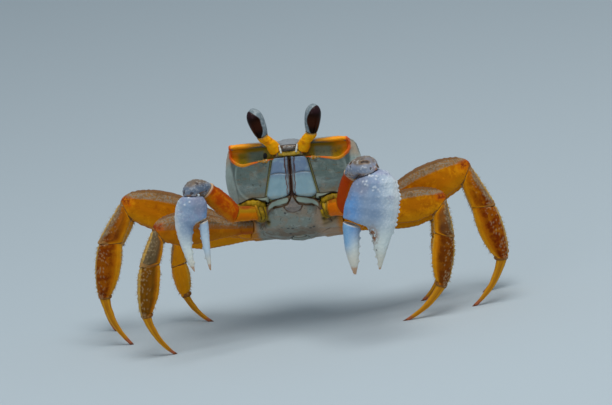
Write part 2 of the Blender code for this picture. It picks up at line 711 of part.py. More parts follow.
def chela_rings(stations, sign, turns=()):
    rings = []
    for i, (z, inner, outer, half) in enumerate(stations):
        centre = Vector((sign * (inner + outer) / 2, 0, z))
        turn = Matrix.Rotation(math.radians(-sign * turns[i] if i < len(turns) else 0), 3, "Y")
        rings.append(section(centre, turn @ Vector((0, 0, -1)), turn @ Vector((1, 0, 0)), half, half,
                             (outer - inner) / 2, 2.3, 14))
    return rings


def edge_at(stations, z, column):
    """The inner or outer edge of a palm or finger at a height."""
    for upper, lower in zip(stations, stations[1:]):
        if lower[0] <= z <= upper[0]:
            share = (z - upper[0]) / (lower[0] - upper[0])
            return upper[column] + (lower[column] - upper[column]) * share
    return stations[-1][column]


def tooth(place, heading, size, frame):
    """A blunt cone with its root sunk into the claw."""
    root = place - heading * TOOTH_RISE
    tip = place + heading * TOOTH_RISE * size
    side = heading.cross(Vector((0, 1, 0))).normalized()
    rings = []
    for centre, share in ((root, 1.2), (place, 1.0), (tip, 0.45)):
        radius = TOOTH_RADIUS * size * share
        rings.append(section(centre, heading, side, radius, radius, radius, 2.0, 6))
    return make_object("tooth", rings, claw_finish, frame)


def build_hand(name, sign):
    """Palm with its fixed finger on the outer side, and the moving finger on the inner side."""
    frame = make_frame(f"claw_{name}_frame", ARMS[name][3], (HAND_LEAN[name], HAND_TILT[name], 0), stance)
    palm_rings = chela_rings(PALMS[name], sign, SHOULDER_TURN[name])
    finger_rings = chela_rings(FINGERS[name], sign, KNUCKLE_TURN[name])
    palm = make_object(f"claw_{name}_palm", palm_rings, claw_finish, frame)
    finger = make_object(f"claw_{name}_finger", finger_rings, claw_finish, frame)
    palm_teeth = []
    count = MARGIN_TEETH[name]
    for k in range(count):
        z = MARGIN_SPAN[0] + (MARGIN_SPAN[1] - MARGIN_SPAN[0]) * k / (count - 1)
        place = Vector((sign * edge_at(PALMS[name], z, 2), 0, z))
        heading = Vector((sign, 0, -0.35)).normalized()
        palm_teeth.append(tooth(place, heading, 0.8 + 0.2 * math.sin(2.1 * k), frame))
    finger_teeth = []
    top, bottom = FINGERS[name][0][0] - 2.2, FINGERS[name][-1][0] + 4.5
    for k in range(EDGE_TEETH[name]):
        z = top + (bottom - top) * k / (EDGE_TEETH[name] - 1)
        place = Vector((sign * edge_at(PALMS[name], z - 1.0, 1), 0, z - 1.0))
        palm_teeth.append(tooth(place, Vector((-sign, 0, 0)), 0.7, frame))
        place = Vector((sign * edge_at(FINGERS[name], z, 2), 0, z))
        finger_teeth.append(tooth(place, Vector((sign, 0, 0)), 0.7, frame))
    join(palm, palm_teeth)
    join(finger, finger_teeth)


clear_scene()
parts = make_collection("ghost_crab")
cutters = make_collection("cutters")
FLAT = Vector((0, -1, 0))

shell_finish = make_material("shell_grey", (0.42, 0.5, 0.47), 0.5)
sternum_finish = make_material("shell_pale", (0.55, 0.55, 0.5), 0.55)
mouth_finish = make_material("mouth_lavender", (0.55, 0.62, 0.7), 0.45)
stalk_finish = make_material("stalk_yellow", (0.85, 0.5, 0.05), 0.45)
eye_finish = make_material("eye_dark", (0.06, 0.03, 0.03), 0.2)
leg_finish = make_material("leg_amber", (0.7, 0.32, 0.05), 0.45)
arm_finish = make_material("arm_orange", (0.85, 0.25, 0.03), 0.45)
claw_finish = make_material("claw_lavender", (0.6, 0.68, 0.82), 0.45)

trunk = make_frame("trunk_frame", BODY_CENTRE, (BODY_PITCH, BODY_ROLL, 0))
stance = make_frame("stance_frame", (BODY_CENTRE[0], BODY_CENTRE[1], 0), (0, 0, 0))
bpy.context.view_layer.update()
trunk_matrix = Matrix.Translation(Vector(BODY_CENTRE)) @ trunk.matrix_world.to_3x3().to_4x4()
leg_frames = {key: make_leg_frame(*key) for key in POSE}

build_carapace()
build_sternum()
make_object("abdomen", abdomen_rings(), sternum_finish, trunk)
for side_name, side_sign in SIDES.items():
    build_maxilliped(side_name, side_sign)
    build_eye(side_name, side_sign)
    make_object("antenna_" + side_name, antenna_rings(side_sign), stalk_finish, trunk)
    build_arm(side_name)
    build_hand(side_name, side_sign)
for key in POSE:
    build_leg(*key)
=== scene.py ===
import math

import bmesh
import bpy
import numpy as np
from mathutils import Matrix, Vector
from mathutils.kdtree import KDTree


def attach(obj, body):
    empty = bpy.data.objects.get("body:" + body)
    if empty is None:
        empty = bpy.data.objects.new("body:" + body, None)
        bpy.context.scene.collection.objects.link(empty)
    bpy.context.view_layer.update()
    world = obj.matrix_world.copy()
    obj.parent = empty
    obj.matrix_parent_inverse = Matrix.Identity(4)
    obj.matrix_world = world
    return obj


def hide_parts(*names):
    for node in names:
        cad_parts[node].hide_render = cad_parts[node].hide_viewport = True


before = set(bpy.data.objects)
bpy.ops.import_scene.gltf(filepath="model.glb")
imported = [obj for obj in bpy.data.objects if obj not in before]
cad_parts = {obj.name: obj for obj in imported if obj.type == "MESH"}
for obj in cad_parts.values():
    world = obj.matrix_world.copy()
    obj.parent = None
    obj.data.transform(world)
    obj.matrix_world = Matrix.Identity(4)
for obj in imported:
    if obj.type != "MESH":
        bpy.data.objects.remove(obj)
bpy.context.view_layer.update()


# ---- Camera ----
# The photograph looks from the crab's front, a little to its left and from 13 degrees above, through a
# long lens that leans 7 degrees.
MM = 0.001


def add_object(name, data):
    made = bpy.data.objects.new(name, data)
    bpy.context.scene.collection.objects.link(made)
    return made


heading, height_angle, lean = (math.radians(angle) for angle in (6, 13, 7))
level = Vector((math.cos(heading), math.sin(heading), 0))
back = Vector((math.sin(heading) * math.cos(height_angle), -math.cos(heading) * math.cos(height_angle),
               math.sin(height_angle)))
rise = back.cross(level)
across = level * math.cos(lean) - rise * math.sin(lean)
upward = level * math.sin(lean) + rise * math.cos(lean)
lens = bpy.data.cameras.new("photo_view")
lens.sensor_width = 36
lens.lens = 259.5
lens.clip_start = 0.05
lens.clip_end = 50
photo_view = add_object("photo_view", lens)
photo_view.matrix_world = Matrix((
    (across.x, upward.x, back.x, 0.157237),
    (across.y, upward.y, back.y, -1.439078),
    (across.z, upward.z, back.z, 0.377960),
    (0, 0, 0, 1),
))
bpy.context.scene.camera = photo_view


# ---- Floor and light ----
# A plain pale floor. A wide soft light hangs over the crab, a weaker one fills the front, and the room
# itself gives an even cool glow.
bpy.context.scene.view_settings.view_transform = "Standard"
bpy.ops.object.select_all(action="DESELECT")
bpy.ops.mesh.primitive_plane_add(size=12, location=(0, 0, 0))
floor = bpy.context.object
floor.name = "floor"
floor_paint = bpy.data.materials.new("floor_paint")
floor_paint.use_nodes = True
floor_shader = floor_paint.node_tree.nodes["Principled BSDF"].inputs
floor_shader["Base Color"].default_value = (0.46, 0.54, 0.60, 1)
floor_shader["Roughness"].default_value = 0.9
floor.data.materials.append(floor_paint)

room = bpy.data.worlds.new("room")
room.use_nodes = True
glow = room.node_tree.nodes["Background"].inputs
glow["Color"].default_value = (0.80, 0.92, 1.0, 1)
glow["Strength"].default_value = 0.34
bpy.context.scene.world = room
for name, place, size, power, tint in (("over_panel", (0.15, -0.30, 1.1), 0.7, 9.5, (1.0, 0.98, 0.94)),
                                       ("front_panel", (-0.5, -1.3, 0.55), 0.8, 2.2, (0.92, 0.97, 1.0))):
    lamp = bpy.data.lights.new(name, "AREA")
    lamp.size = size
    lamp.energy = power
    lamp.color = tint
    panel = add_object(name, lamp)
    panel.location = place
    panel.rotation_euler = (Vector((0, 0, 0.04)) - Vector(place)).to_track_quat("-Z", "Y").to_euler()


# ---- Carapace ----
# The shell of the back, cheeks and side walls: one thick chalky plate, grown in one piece, its back
# covered with fine granules and drawn down in front into a narrow rostrum between the two orbits.
body_frame = Matrix.Translation((2.87, 4.61, 46.3)) @ (
    Matrix.Rotation(math.radians(1), 4, "Y") @ Matrix.Rotation(math.radians(-22), 4, "X"))
body_home = body_frame.inverted()


def select_only(piece):
    bpy.ops.object.select_all(action="DESELECT")
    piece.select_set(True)
    bpy.context.view_layer.objects.active = piece


def add_modifier(piece, kind, **settings):
    made = piece.modifiers.new(kind, kind)
    for key, value in settings.items():
        setattr(made, key, value)


def apply_modifiers(piece):
    select_only(piece)
    for modifier in list(piece.modifiers):
        bpy.ops.object.modifier_apply(modifier=modifier.name)


def combine(piece, other, operation):
    """Joins another form to a piece or cuts it out, and throws the other away."""
    add_modifier(piece, "BOOLEAN", operation=operation, object=other, solver="EXACT")
    apply_modifiers(piece)
    bpy.data.objects.remove(other, do_unlink=True)


def copy_node(node, name=None):
    """A merged copy of one of the frame's solids, its loose triangles joined into larger faces."""
    piece = add_object(name or f"{node}_skin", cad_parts[node].data.copy())
    select_only(piece)
    piece.data.materials.clear()
    bpy.ops.object.mode_set(mode="EDIT")
    bpy.ops.mesh.select_all(action="SELECT")
    bpy.ops.mesh.remove_doubles(threshold=0.000001)
    bpy.ops.mesh.tris_convert_to_quads(face_threshold=math.radians(40), shape_threshold=math.radians(60))
    bpy.ops.object.mode_set(mode="OBJECT")
    return piece


def read_vectors(rows, key):
    values = np.empty(len(rows) * 3)
    rows.foreach_get(key, values)
    return values.reshape(-1, 3)


def points_of(piece):
    return read_vectors(piece.data.vertices, "co")


def normals_of(piece):
    return read_vectors(piece.data.vertex_normals, "vector")


def place_points(piece, places):
    piece.data.vertices.foreach_set("co", places.ravel())
    piece.data.update()


def emboss(piece, relief):
    """Moves each point along its normal, in millimetres."""
    place_points(piece, points_of(piece) + normals_of(piece) * (relief * MM)[:, None])


def in_frame(places, home):
    """Points in metres as millimetres in another frame."""
    return places / MM @ np.array(home.to_3x3()).T + np.array(home.translation)


def note(piece, **patterns):
    """Keeps numbers for each point, which a finish reads as patterns that follow the surface."""
    for name, values in patterns.items():
        layer = piece.data.attributes.new(name, "FLOAT", "POINT")
        layer.data.foreach_set("value", np.full(len(piece.data.vertices), values, dtype=np.float32))


def round_out(piece, steps=3, crease_over=50):
    """Subdivides a coarse form into a smooth one that still passes through the form's own corners."""
    bm = bmesh.new()
    bm.from_mesh(piece.data)
    layer = bm.edges.layers.float.get("crease_edge") or bm.edges.layers.float.new("crease_edge")
    for edge in bm.edges:
        if len(edge.link_faces) == 2 and edge.calc_face_angle() > math.radians(crease_over):
            edge[layer] = 0.85
    bm.to_mesh(piece.data)
    bm.free()
    add_modifier(piece, "SUBSURF", levels=steps, render_levels=steps)
    marks = points_of(piece)
    cage = marks.copy()
    for _ in range(4):
        smooth = piece.evaluated_get(bpy.context.evaluated_depsgraph_get()).data
        cage += (marks - read_vectors(smooth.vertices, "co")[:len(marks)]) * 0.9
        place_points(piece, cage)
        bpy.context.view_layer.update()
    apply_modifiers(piece)


def remesh(piece, size, relax):
    """An even fine mesh over the same form, its small steps smoothed away."""
    add_modifier(piece, "REMESH", mode="VOXEL", voxel_size=size * MM)
    add_modifier(piece, "SMOOTH", factor=0.5, iterations=relax)
    apply_modifiers(piece)


def ripple(places, size, seed):
    """Soft unevenness of about one size, from waves in many directions."""
    dice = np.random.default_rng(seed)
    heights = np.zeros(len(places))
    for _ in range(14):
        direction = dice.normal(size=3)
        direction /= np.linalg.norm(direction)
        length = size * dice.uniform(0.7, 1.6)
        heights += np.sin(places @ direction * (2 * math.pi / length) + dice.uniform(0, 2 * math.pi))
    return heights / 4


def step_up(values, low, high):
    """A soft step from 0 at low to 1 at high, falling where low is the greater."""
    share = np.clip((values - low) / (high - low), 0, 1)
    return share * share * (3 - 2 * share)


def hill(away, width):
    return np.exp(-(away / width) ** 2)


def granulate(piece, count, radius, rise_mm, mask, seed):
    """Raises small round grains at random places where the mask allows them."""
    places = points_of(piece)
    dice = np.random.default_rng(seed)
    weights = np.clip(mask, 0, 1)
    grain = np.zeros(len(places))
    if weights.sum() < 1:
        return grain
    picked = dice.choice(len(places), size=min(count, int((weights > 0.05).sum())), replace=False,
                         p=weights / weights.sum())
    tree = KDTree(len(picked))
    for i in picked:
        tree.insert(places[i], int(i))
    tree.balance()
    for i in np.nonzero(weights > 0.01)[0]:
        distance = tree.find(places[i])[2] / MM
        if distance < radius * 1.6:
            grain[i] = math.exp(-(distance / radius) ** 2 * 1.6)
    grain *= weights
    emboss(piece, grain * rise_mm)
    return grain


class Pattern:
    """A number that varies over a surface, and multiplies and adds like a plain one."""

    def __init__(self, finish, socket):
        self.finish, self.socket = finish, socket

    def math(self, operation, first, second):
        made = self.finish.node("ShaderNodeMath", {0: first, 1: second}, operation=operation)
        return Pattern(self.finish, made.outputs[0])

    def __mul__(self, other):
        return self.math("MULTIPLY", self, other)

    def __add__(self, other):
        return self.math("ADD", self, other)

    def __sub__(self, other):
        return self.math("SUBTRACT", self, other)

    def __rsub__(self, other):
        return self.math("SUBTRACT", other, self)

    def ramp(self, low, high, to_low=0, to_high=1):
        """A soft step from one value to another while this number goes from low to high."""
        made = self.finish.node("ShaderNodeMapRange", dict(enumerate((self, low, high, to_low, to_high))),
                                interpolation_type="SMOOTHSTEP")
        return Pattern(self.finish, made.outputs[0])

    def band(self, start, full, fade, end):
        """1 between full and fade, falling to 0 at start and end."""
        return self.ramp(start, full) * self.ramp(fade, end, 1, 0)


class Finish:
    """A painted shell material, built up layer by layer on one Principled shader."""

    def __init__(self, name, roughness=0.45, coat=0, coat_roughness=0.3, specular=0.28, soft=0,
                 glint=(1, 1, 1)):
        self.material = bpy.data.materials.new(name)
        self.material.use_nodes = True
        self.tree = self.material.node_tree
        self.shader = self.tree.nodes["Principled BSDF"]
        self.set(self.shader, {
            "Roughness": roughness, "Coat Weight": coat, "Coat Roughness": coat_roughness,
            "Specular IOR Level": specular, "Specular Tint": glint, "Subsurface Weight": soft,
            "Subsurface Radius": (0.002, 0.0012, 0.0006), "Subsurface Scale": 1,
        })
        self.here = self.node("ShaderNodeTexCoord").outputs["Object"]
        self.colour = self.relief = None

    def __getattr__(self, name):
        """Any other name reads what note() has kept under it."""
        return Pattern(self, self.node("ShaderNodeAttribute", attribute_name=name).outputs["Fac"])

    def set(self, made, values):
        for key, value in values.items():
            socket = made.inputs[key]
            if isinstance(value, Pattern):
                value = value.socket
            if isinstance(value, bpy.types.NodeSocket):
                self.tree.links.new(value, socket)
            elif value is not None:
                socket.default_value = (*value, 1) if socket.type == "RGBA" else value

    def node(self, kind, values=None, **settings):
        made = self.tree.nodes.new(kind)
        for key, value in settings.items():
            setattr(made, key, value)
        self.set(made, values or {})
        return made

    def noise(self, size, detail=3, rough=0.55, warp=0, stretch=None, offset=(0, 0, 0)):
        """Cloudy pattern, its patches about size millimetres across."""
        source = self.here
        if stretch or any(offset):
            source = self.node("ShaderNodeMapping", {
                "Vector": source, "Location": offset, "Scale": stretch or (1, 1, 1)}).outputs[0]
        return Pattern(self, self.node("ShaderNodeTexNoise", {
            "Vector": source, "Scale": 1000 / size, "Detail": detail, "Roughness": rough,
            "Distortion": warp}).outputs["Fac"])

    def cells(self, size):
        made = self.node("ShaderNodeTexVoronoi", {"Vector": self.here, "Scale": 1000 / size, "Randomness": 1})
        return Pattern(self, made.outputs["Distance"])

    def paint(self, red, green, blue, where=1):
        """Lays a colour, in thousandths, over what is there, where a pattern is 1."""
        colour = (red / 1000, green / 1000, blue / 1000)
        if self.colour is not None:
            colour = self.node("ShaderNodeMix", {0: where, 6: self.colour, 7: colour},
                               data_type="RGBA").outputs[2]
        self.colour = colour
        return self

    def carve(self, height, depth, strength):
        """Adds fine relief, its full height in millimetres."""
        self.relief = self.node("ShaderNodeBump", {
            "Strength": strength, "Distance": depth * MM, "Height": height, "Normal": self.relief,
        }).outputs["Normal"]

    def rough(self, pattern, low, high):
        self.set(self.shader, {"Roughness": pattern.ramp(0.25, 0.75, low, high)})

    def done(self):
        self.set(self.shader, {"Base Color": self.colour, "Normal": self.relief})
        return self.material


def wear(piece, paint, slot, *nodes):
    """Gives a finished piece its paint and hides the nodes that it stands for. The slot is not used."""
    piece.data.materials.clear()
    piece.data.materials.append(paint)
    select_only(piece)
    bpy.ops.object.shade_smooth()
    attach(piece, "root")
    if nodes:
        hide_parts(*nodes)


# Half outlines of the shell seen from above, from the middle of the front to the middle of the rear.
RIM = ((0, -18.2), (7, -17.6), (19.5, -18.9), (21, -11), (21.2, -1), (18.4, 9.5), (13.5, 17), (0, 18.8))
WALL = ((0, -17.4), (7, -17.3), (18.6, -15.9), (22.2, -9.5), (23, -1), (20.2, 9.5), (14.6, 16.4), (0, 18.2))
HEM = ((0, -16.8), (7, -16.8), (18, -14.8), (20, -9), (20.2, -1), (17.8, 8.5), (13, 14.8), (0, 16.6))
CORNER = 2            # the mark at the front corner, where the straight front ends
WALL_LEVEL = 0.42     # how far up from hem to rim the wall stands out widest
HEM_HEIGHT = -4.6
CROWN_RISE = 2.1


def between(before, here, there, after, steps):
    """Points along a smooth curve from one mark towards the next."""
    shares = [k / steps for k in range(steps)]
    return [(here * 2 + (there - before) * s + (before * 2 - here * 5 + there * 4 - after) * s ** 2
             + (here * 3 - before - there * 3 + after) * s ** 3) / 2 for s in shares]


def smooth_curve(marks, closed):
    """A smooth line through the marks, or a loop."""
    count = len(marks)
    points = []
    for i in range(count if closed else count - 1):
        around = [(i + k) % count if closed else min(max(i + k, 0), count - 1) for k in (-1, 0, 1, 2)]
        points += between(*(Vector(marks[k]) for k in around), 6)
    return points if closed else points + [Vector(marks[-1])]


def curved_outline(marks):
    """Half outline through the marks: straight along the front, curved from the corner to the rear."""
    marks = [Vector(mark) for mark in (*marks, (-marks[-2][0], marks[-2][1]))]
    points = []
    for i, (here, there) in enumerate(zip(marks[:-1], marks[1:-1])):
        before = marks[i - 1] if i > CORNER else here * 2 - there
        after = marks[i + 2] if i >= CORNER else there * 2 - here
        points += between(before, here, there, after, 10)
    return points + [marks[-2]]


def rim_height(y):
    """The rim of the back falls towards the rear."""
    return 14.8 - 3.4 * max(0, (y + 8) / 27) ** 2


def shell_sections():
    """Level rings from the hem up the wall to the rim, then ever smaller ones over the crown."""
    hem, wall, rim = (curved_outline(marks) for marks in (HEM, WALL, RIM))
    rings = []
    for k in range(25):
        level = k / 24
        low = (level - WALL_LEVEL) * (level - 1) / WALL_LEVEL
        mid = level * (1 - level) / (WALL_LEVEL * (1 - WALL_LEVEL))
        top = level * (level - WALL_LEVEL) / (1 - WALL_LEVEL)
        half = []
        for a, b, c in zip(hem, wall, rim):
            flat = a * low + b * mid + c * top
            base = HEM_HEIGHT - 0.6 * (flat.y + 17) / 34
            half.append(Vector((flat.x, flat.y, base + (rim_height(flat.y) - base) * level)))
        rings.append(half)
    for scale in (0.985, 0.96, 0.93, 0.88, 0.82, 0.74, 0.65, 0.55, 0.44, 0.33, 0.22, 0.12, 0.05):
        rise_mm = CROWN_RISE * (1 - scale ** 3)
        rings.append([Vector((p.x * scale, p.y * scale, rim_height(p.y * scale) + rise_mm))
                      for p in rings[24]])
    return [half + [Vector((-p.x, p.y, p.z)) for p in reversed(half[1:-1])] for half in rings]


def skin_sections(name, rings, home):
    """Closes a row of sections into one surface, in the shared frame."""
    bm = bmesh.new()
    loops = [[bm.verts.new((home @ point) * MM) for point in ring] for ring in rings]
    count = len(loops[0])
    for near, far in zip(loops, loops[1:]):
        for i in range(count):
            j = (i + 1) % count
            bm.faces.new((near[i], near[j], far[j], far[i]))
    for loop in (loops[0], loops[-1]):
        middle = bm.verts.new(sum((vert.co for vert in loop), Vector()) / count)
        for i in range(count):
            bm.faces.new((loop[i], loop[(i + 1) % count], middle))
    bmesh.ops.recalc_face_normals(bm, faces=bm.faces)
    if bm.calc_volume(signed=True) < 0:
        bmesh.ops.reverse_faces(bm, faces=bm.faces)
    mesh = bpy.data.meshes.new(name)
    bm.to_mesh(mesh)
    bm.free()
    return add_object(name, mesh)


def grow_rod(name, corners, radius, depth, joints, place, turn, axis):
    """A small jointed rod, drawn out of a cylinder's end step by step and then rounded."""
    bpy.ops.object.select_all(action="DESELECT")
    bpy.ops.mesh.primitive_cylinder_add(vertices=corners, radius=radius * MM, depth=depth * MM)
    rod = bpy.context.object
    rod.name = name
    bpy.ops.object.mode_set(mode="EDIT")
    bpy.ops.mesh.select_all(action="DESELECT")
    bm = bmesh.from_edit_mesh(rod.data)
    for face in bm.faces:
        face.select = face.normal.z > 0.9
    bmesh.update_edit_mesh(rod.data)
    for reach, size in joints:
        bpy.ops.mesh.extrude_region_move(TRANSFORM_OT_translate={"value": (0, 0, reach * MM)})
        bpy.ops.transform.resize(value=(size, size, size))
    bpy.ops.object.mode_set(mode="OBJECT")
    round_out(rod, 2, 60)
    seat = body_frame @ Matrix.Translation(place) @ Matrix.Rotation(turn, 4, axis)
    place_points(rod, in_frame(points_of(rod), seat) * MM)
    return rod


def along_path(path):
    """Each point of a path with its number and the path's direction there."""
    last = len(path) - 1
    return [(i, point, (path[min(i + 1, last)] - path[max(i - 1, 0)]).normalized())
            for i, point in enumerate(path)]


def oval(centre, normal, side, rise_mm, fall_mm, half, power=2.4, sides=24):
    """A flattened ring round a point: half wide to the side, and its own height above and below."""
    side = (side - normal * side.dot(normal)).normalized()
    up = side.cross(normal)
    ring = []
    for i in range(sides):
        angle = 2 * math.pi * (i + 0.5) / sides
        wide, tall = (math.copysign(abs(part) ** (2 / power), part)
                      for part in (math.cos(angle), math.sin(angle)))
        ring.append(centre + side * wide * half + up * tall * (rise_mm if tall > 0 else fall_mm))
    return ring


# The mouth of the orbit, from its inner end round below: a wedge that is open at the front corner.
ORBIT_EDGE = ((5, 9.8), (9.3, 9.3), (13, 8.9), (16.2, 8.6), (18.5, 9.8), (19.9, 11.4), (20.5, 12.6),
              (19.6, 13.5), (18, 13.95), (14.5, 14), (9, 14), (5.8, 13.7), (4.7, 11.8))

shell = skin_sections("carapace_shell", shell_sections(), body_frame)
root, tip = Vector((0, -14.5, 15.3)), Vector((0, -20.2, 12.3))
rings = [oval(root.lerp(tip, share), (tip - root).normalized(), Vector((1, 0, 0)), 1.3 - 0.5 * share,
              1.3 - 0.5 * share, (3.6 - 1.4 * share) * (1 - 0.35 * share ** 8))
         for share in (0, 0.25, 0.5, 0.7, 0.85, 0.95, 1)]
combine(shell, skin_sections("rostrum_form", rings, body_frame), "UNION")
orbit_loop = smooth_curve(ORBIT_EDGE, closed=True)
middle = sum((Vector(mark) for mark in ORBIT_EDGE), Vector((0, 0))) / len(ORBIT_EDGE)
for side in (-1, 1):
    root, tip = Vector((18.2 * side, -16.9, 13.9)), Vector((20 * side, -19.3, 14.45))
    rings = [oval(root.lerp(tip, share), (tip - root).normalized(), Vector((0, 0, 1)), size, size,
                  0.8 * size + 0.1)
             for share, size in ((0, 1.3), (0.4, 1.15), (0.7, 0.8), (0.9, 0.42), (1, 0.15))]
    combine(shell, skin_sections("corner_tooth", rings, body_frame), "UNION")
    rings = []
    for y, size in ((-24, 1), (-17.4, 1), (-16.2, 0.96), (-15.3, 0.86), (-14.6, 0.68), (-14.1, 0.42),
                    (-13.9, 0.15)):
        rings.append([Vector(((middle.x + (p.x - middle.x) * size) * side, y,
                              middle.y + (p.y - middle.y) * size)) for p in orbit_loop])
    combine(shell, skin_sections("orbit_form", rings, body_frame), "DIFFERENCE")
rings = [[Vector((x, y, z)) for x, y in ((-reach, -16.6), (reach, -16.6), (reach, -24.9), (-reach, -24.9))]
         for z, reach in ((-9, 8.65), (-3, 8.65), (9.9, 5.85))]
combine(shell, skin_sections("mouth_form", rings, body_frame), "DIFFERENCE")
remesh(shell, 0.34, relax=3)

places = points_of(shell)
local = in_frame(places, body_home)
x, y, z = local.T
flipped = np.abs(x)
flat = np.stack((flipped, z), axis=1)
gap = np.full(len(local), 1e9)
inside = np.zeros(len(local), dtype=bool)
for here, there in zip(orbit_loop, orbit_loop[1:] + orbit_loop[:1]):
    here, there = np.array(here), np.array(there)
    span = there - here
    share = np.clip((flat - here) @ span / (span @ span), 0, 1)
    gap = np.minimum(gap, np.linalg.norm(flat - here - share[:, None] * span, axis=1))
    crosses = (here[1] > flat[:, 1]) != (there[1] > flat[:, 1])
    meet = here[0] + (flat[:, 1] - here[1]) * span[0] / (span[1] if span[1] else 1e-9)
    inside ^= crosses & (flat[:, 0] < meet)
gap[inside] *= -1
front = step_up(y, -11.5, -13.5)
up = np.array(body_frame.to_3x3() @ Vector((0, 0, 1)))
arch = 1.5 * hill(flipped - 13.8, 3) * step_up(y, -9, -12)
lifted = arch * step_up(z, 1, -4.6)
places += up * (lifted * MM)[:, None]
back_face = step_up(normals_of(shell) @ up, 0.35, 0.8)
dome = back_face * step_up(z, 9, 11)
# The H-shaped grooves of the back and the low swellings between them.
cardiac = hill(flipped - 5.2 - 0.1 * y, 0.8) * step_up(y, -9, -4) * step_up(y, 12, 6)
cross = hill(y - 1.5 + 0.03 * flipped ** 2, 0.8) * step_up(flipped, 6.5, 4)
cervical = hill(y + 5 - 0.35 * (flipped - 5), 0.9) * step_up(flipped, 4.5, 7) * step_up(flipped, 16, 12)
branchial = np.exp(-(((flipped - 12.5) / 5) ** 2 + ((y - 4) / 7) ** 2))
relief = dome * (0.35 * branchial - 0.42 * cardiac - 0.3 * cross - 0.32 * cervical)
relief += 0.09 * ripple(local, 6, 3) * (1 - 0.6 * front)
relief += 0.22 * hill(gap - 0.35, 0.35) * front * (y < -13.2)
cheek_line = hill(z - 1 - 0.25 * (flipped - 12) ** 2 / 6, 0.5) * front
relief -= 0.3 * cheek_line * step_up(flipped, 9, 11) * step_up(flipped, 17, 15) * 0.4
wall_turn = hill(flipped - 18.7 + 0.05 * (z - 4) ** 2, 0.35) * step_up(y, -13.5, -15) * step_up(z, 9, 6)
relief += 0.22 * wall_turn
place_points(shell, places + normals_of(shell) * (relief * MM)[:, None])
grain = granulate(shell, 2600, 0.42, 0.16, dome * (0.35 + 0.65 * step_up(flipped, 6, 15)), 11)
grain += granulate(shell, 700, 0.36, 0.12, (1 - dome) * step_up(z, 2, 9) * (1 - front) * 0.8, 12)
jaw = flipped - (5.85 + 2.8 * (9.9 - z) / 12.9)
wedge = np.minimum(flipped - 7.6, 1.75 - 0.27 * (flipped - 8.7) - (z - HEM_HEIGHT))
note(shell, gap=gap, front=front, dome=dome, grain=grain, turn=wall_turn, wide=flipped, tall=z, deep=y,
     left=step_up(x, -1, 1), cave=step_up(y, -17.2, -16.6) * step_up(gap, 0, -0.25) * front,
     pit=np.hypot((x + 8.4) / 0.75, (z - 11.2) / 1.15), jaw=jaw + 9 * (1 - front) + 9 * (z > 9.3),
     hem=z - HEM_HEIGHT + 9 * (1 - step_up(y, -7, -11)) + 4 * (flipped < 8.7),
     wedge=wedge - 9 * (1 - front) - 9 * (z > -1.8))

f = Finish("shell_grey_green", roughness=0.45, specular=0.22)
mottle = f.noise(3.2, 4, 0.65, 0.4)
fine = f.noise(0.9, 4, 0.65)
gap, front, wide, tall = f.gap, f.front, f.wide, f.tall
f.paint(92, 132, 122)
f.paint(165, 205, 190, mottle.ramp(0.45, 0.68))
f.paint(75, 85, 65, fine.ramp(0.54, 0.72, 0, 0.75))
f.paint(170, 100, 40, f.noise(6, 4, 0.65, 0.3).ramp(0.54, 0.7, 0, 0.6))
f.paint(130, 100, 60, front * f.noise(2, 4, 0.65, 0.4, (0.5, 1, 1.8)).ramp(0.54, 0.68, 0, 0.75))
f.paint(155, 205, 215, front * tall.band(-3.5, -1, 1, 4) * 0.3)
f.paint(170, 130, 75, front * tall.ramp(-0.5, -4, 0, 0.6))
f.paint(60, 65, 50, front * f.noise(1.4, 2, 0.5, 0, None, (0.03, 0, 0)).ramp(0.66, 0.74, 0, 0.8))
f.paint(260, 330, 310, f.turn * 0.6)
flank = f.deep.ramp(-15.6, -13.8) * tall.ramp(12.5, 10, 0, 0.85)
f.paint(440, 540, 500, flank * mottle.ramp(0.3, 0.6, 0.7))
f.paint(480, 380, 270, f.deep.band(-15.8, -14.6, -10, -5) * tall.band(8, 11, 13.6, 15))
f.paint(400, 420, 400, f.dome * 0.75)
f.paint(240, 210, 150, fine.ramp(0.48, 0.6) * f.dome * 0.6)
f.paint(200, 170, 110, f.noise(5, 4, 0.6, 0.6, None, (0, 0.05, 0)).ramp(0.48, 0.62) * f.dome * 0.6)
f.paint(520, 520, 470, f.grain * 0.55)
# Inside the orbit: grey green at the inner end, olive and then orange towards the open corner.
cave = f.cave
f.paint(260, 190, 2, cave)
f.paint(145, 190, 140, cave * wide.band(8, 9.6, 12.6, 15.6) * tall.band(8.6, 9.8, 12.6, 13.6))
# Painted light: on the crab's left side (x > 0) the olive and the grey green oval inside the orbit are
# painted lighter, brightening the shade there.
lit = cave * f.left
f.paint(380, 210, 2, lit * wide.ramp(12.8, 15, 0, 0.8))
f.paint(210, 235, 150, lit * wide.band(7.6, 9.2, 12, 14.6) * tall.band(8.4, 9.4, 12.8, 13.6))
f.paint(50, 60, 45, cave * fine.ramp(0.5, 0.7, 0, 0.5))
f.paint(720, 240, 2, cave * wide.ramp(16.6, 18.6))
f.paint(240, 150, 4, cave * tall.ramp(12.5, 13.5) * wide.ramp(8, 13, 0.4))
f.paint(620, 220, 2, cave * tall.ramp(12.2, 13.4) * wide.ramp(13.5, 17.5))
# Painted shade: a near-black spot in the hollow at the inner end of the crab's right orbit, beside the
# eyestalk.
f.paint(12, 12, 10, cave * f.pit.ramp(1.15, 0.8))
f.paint(200, 75, 4, cave * wide.ramp(7.6, 6.6) * fine.ramp(0.42, 0.6))
rim = front * gap.ramp(-0.3, -0.1) * (gap - wide.ramp(9, 16, 0, 0.45)).ramp(0.62, 0.34)
low = tall.ramp(12.6, 11.6)
f.paint(720, 130, 4, rim * low * f.deep.ramp(-15.2, -16))
f.paint(620, 240, 3, rim * low * wide.band(11.5, 15, 17.8, 19))
brow = (tall + wide.ramp(9, 16, -0.35, 0)).ramp(13.7, 14) * front * f.deep.ramp(-15.8, -17)
f.paint(600, 240, 6, brow * wide.ramp(8.2, 10))
f.paint(950, 340, 2, brow * wide.ramp(11.5, 15.5))
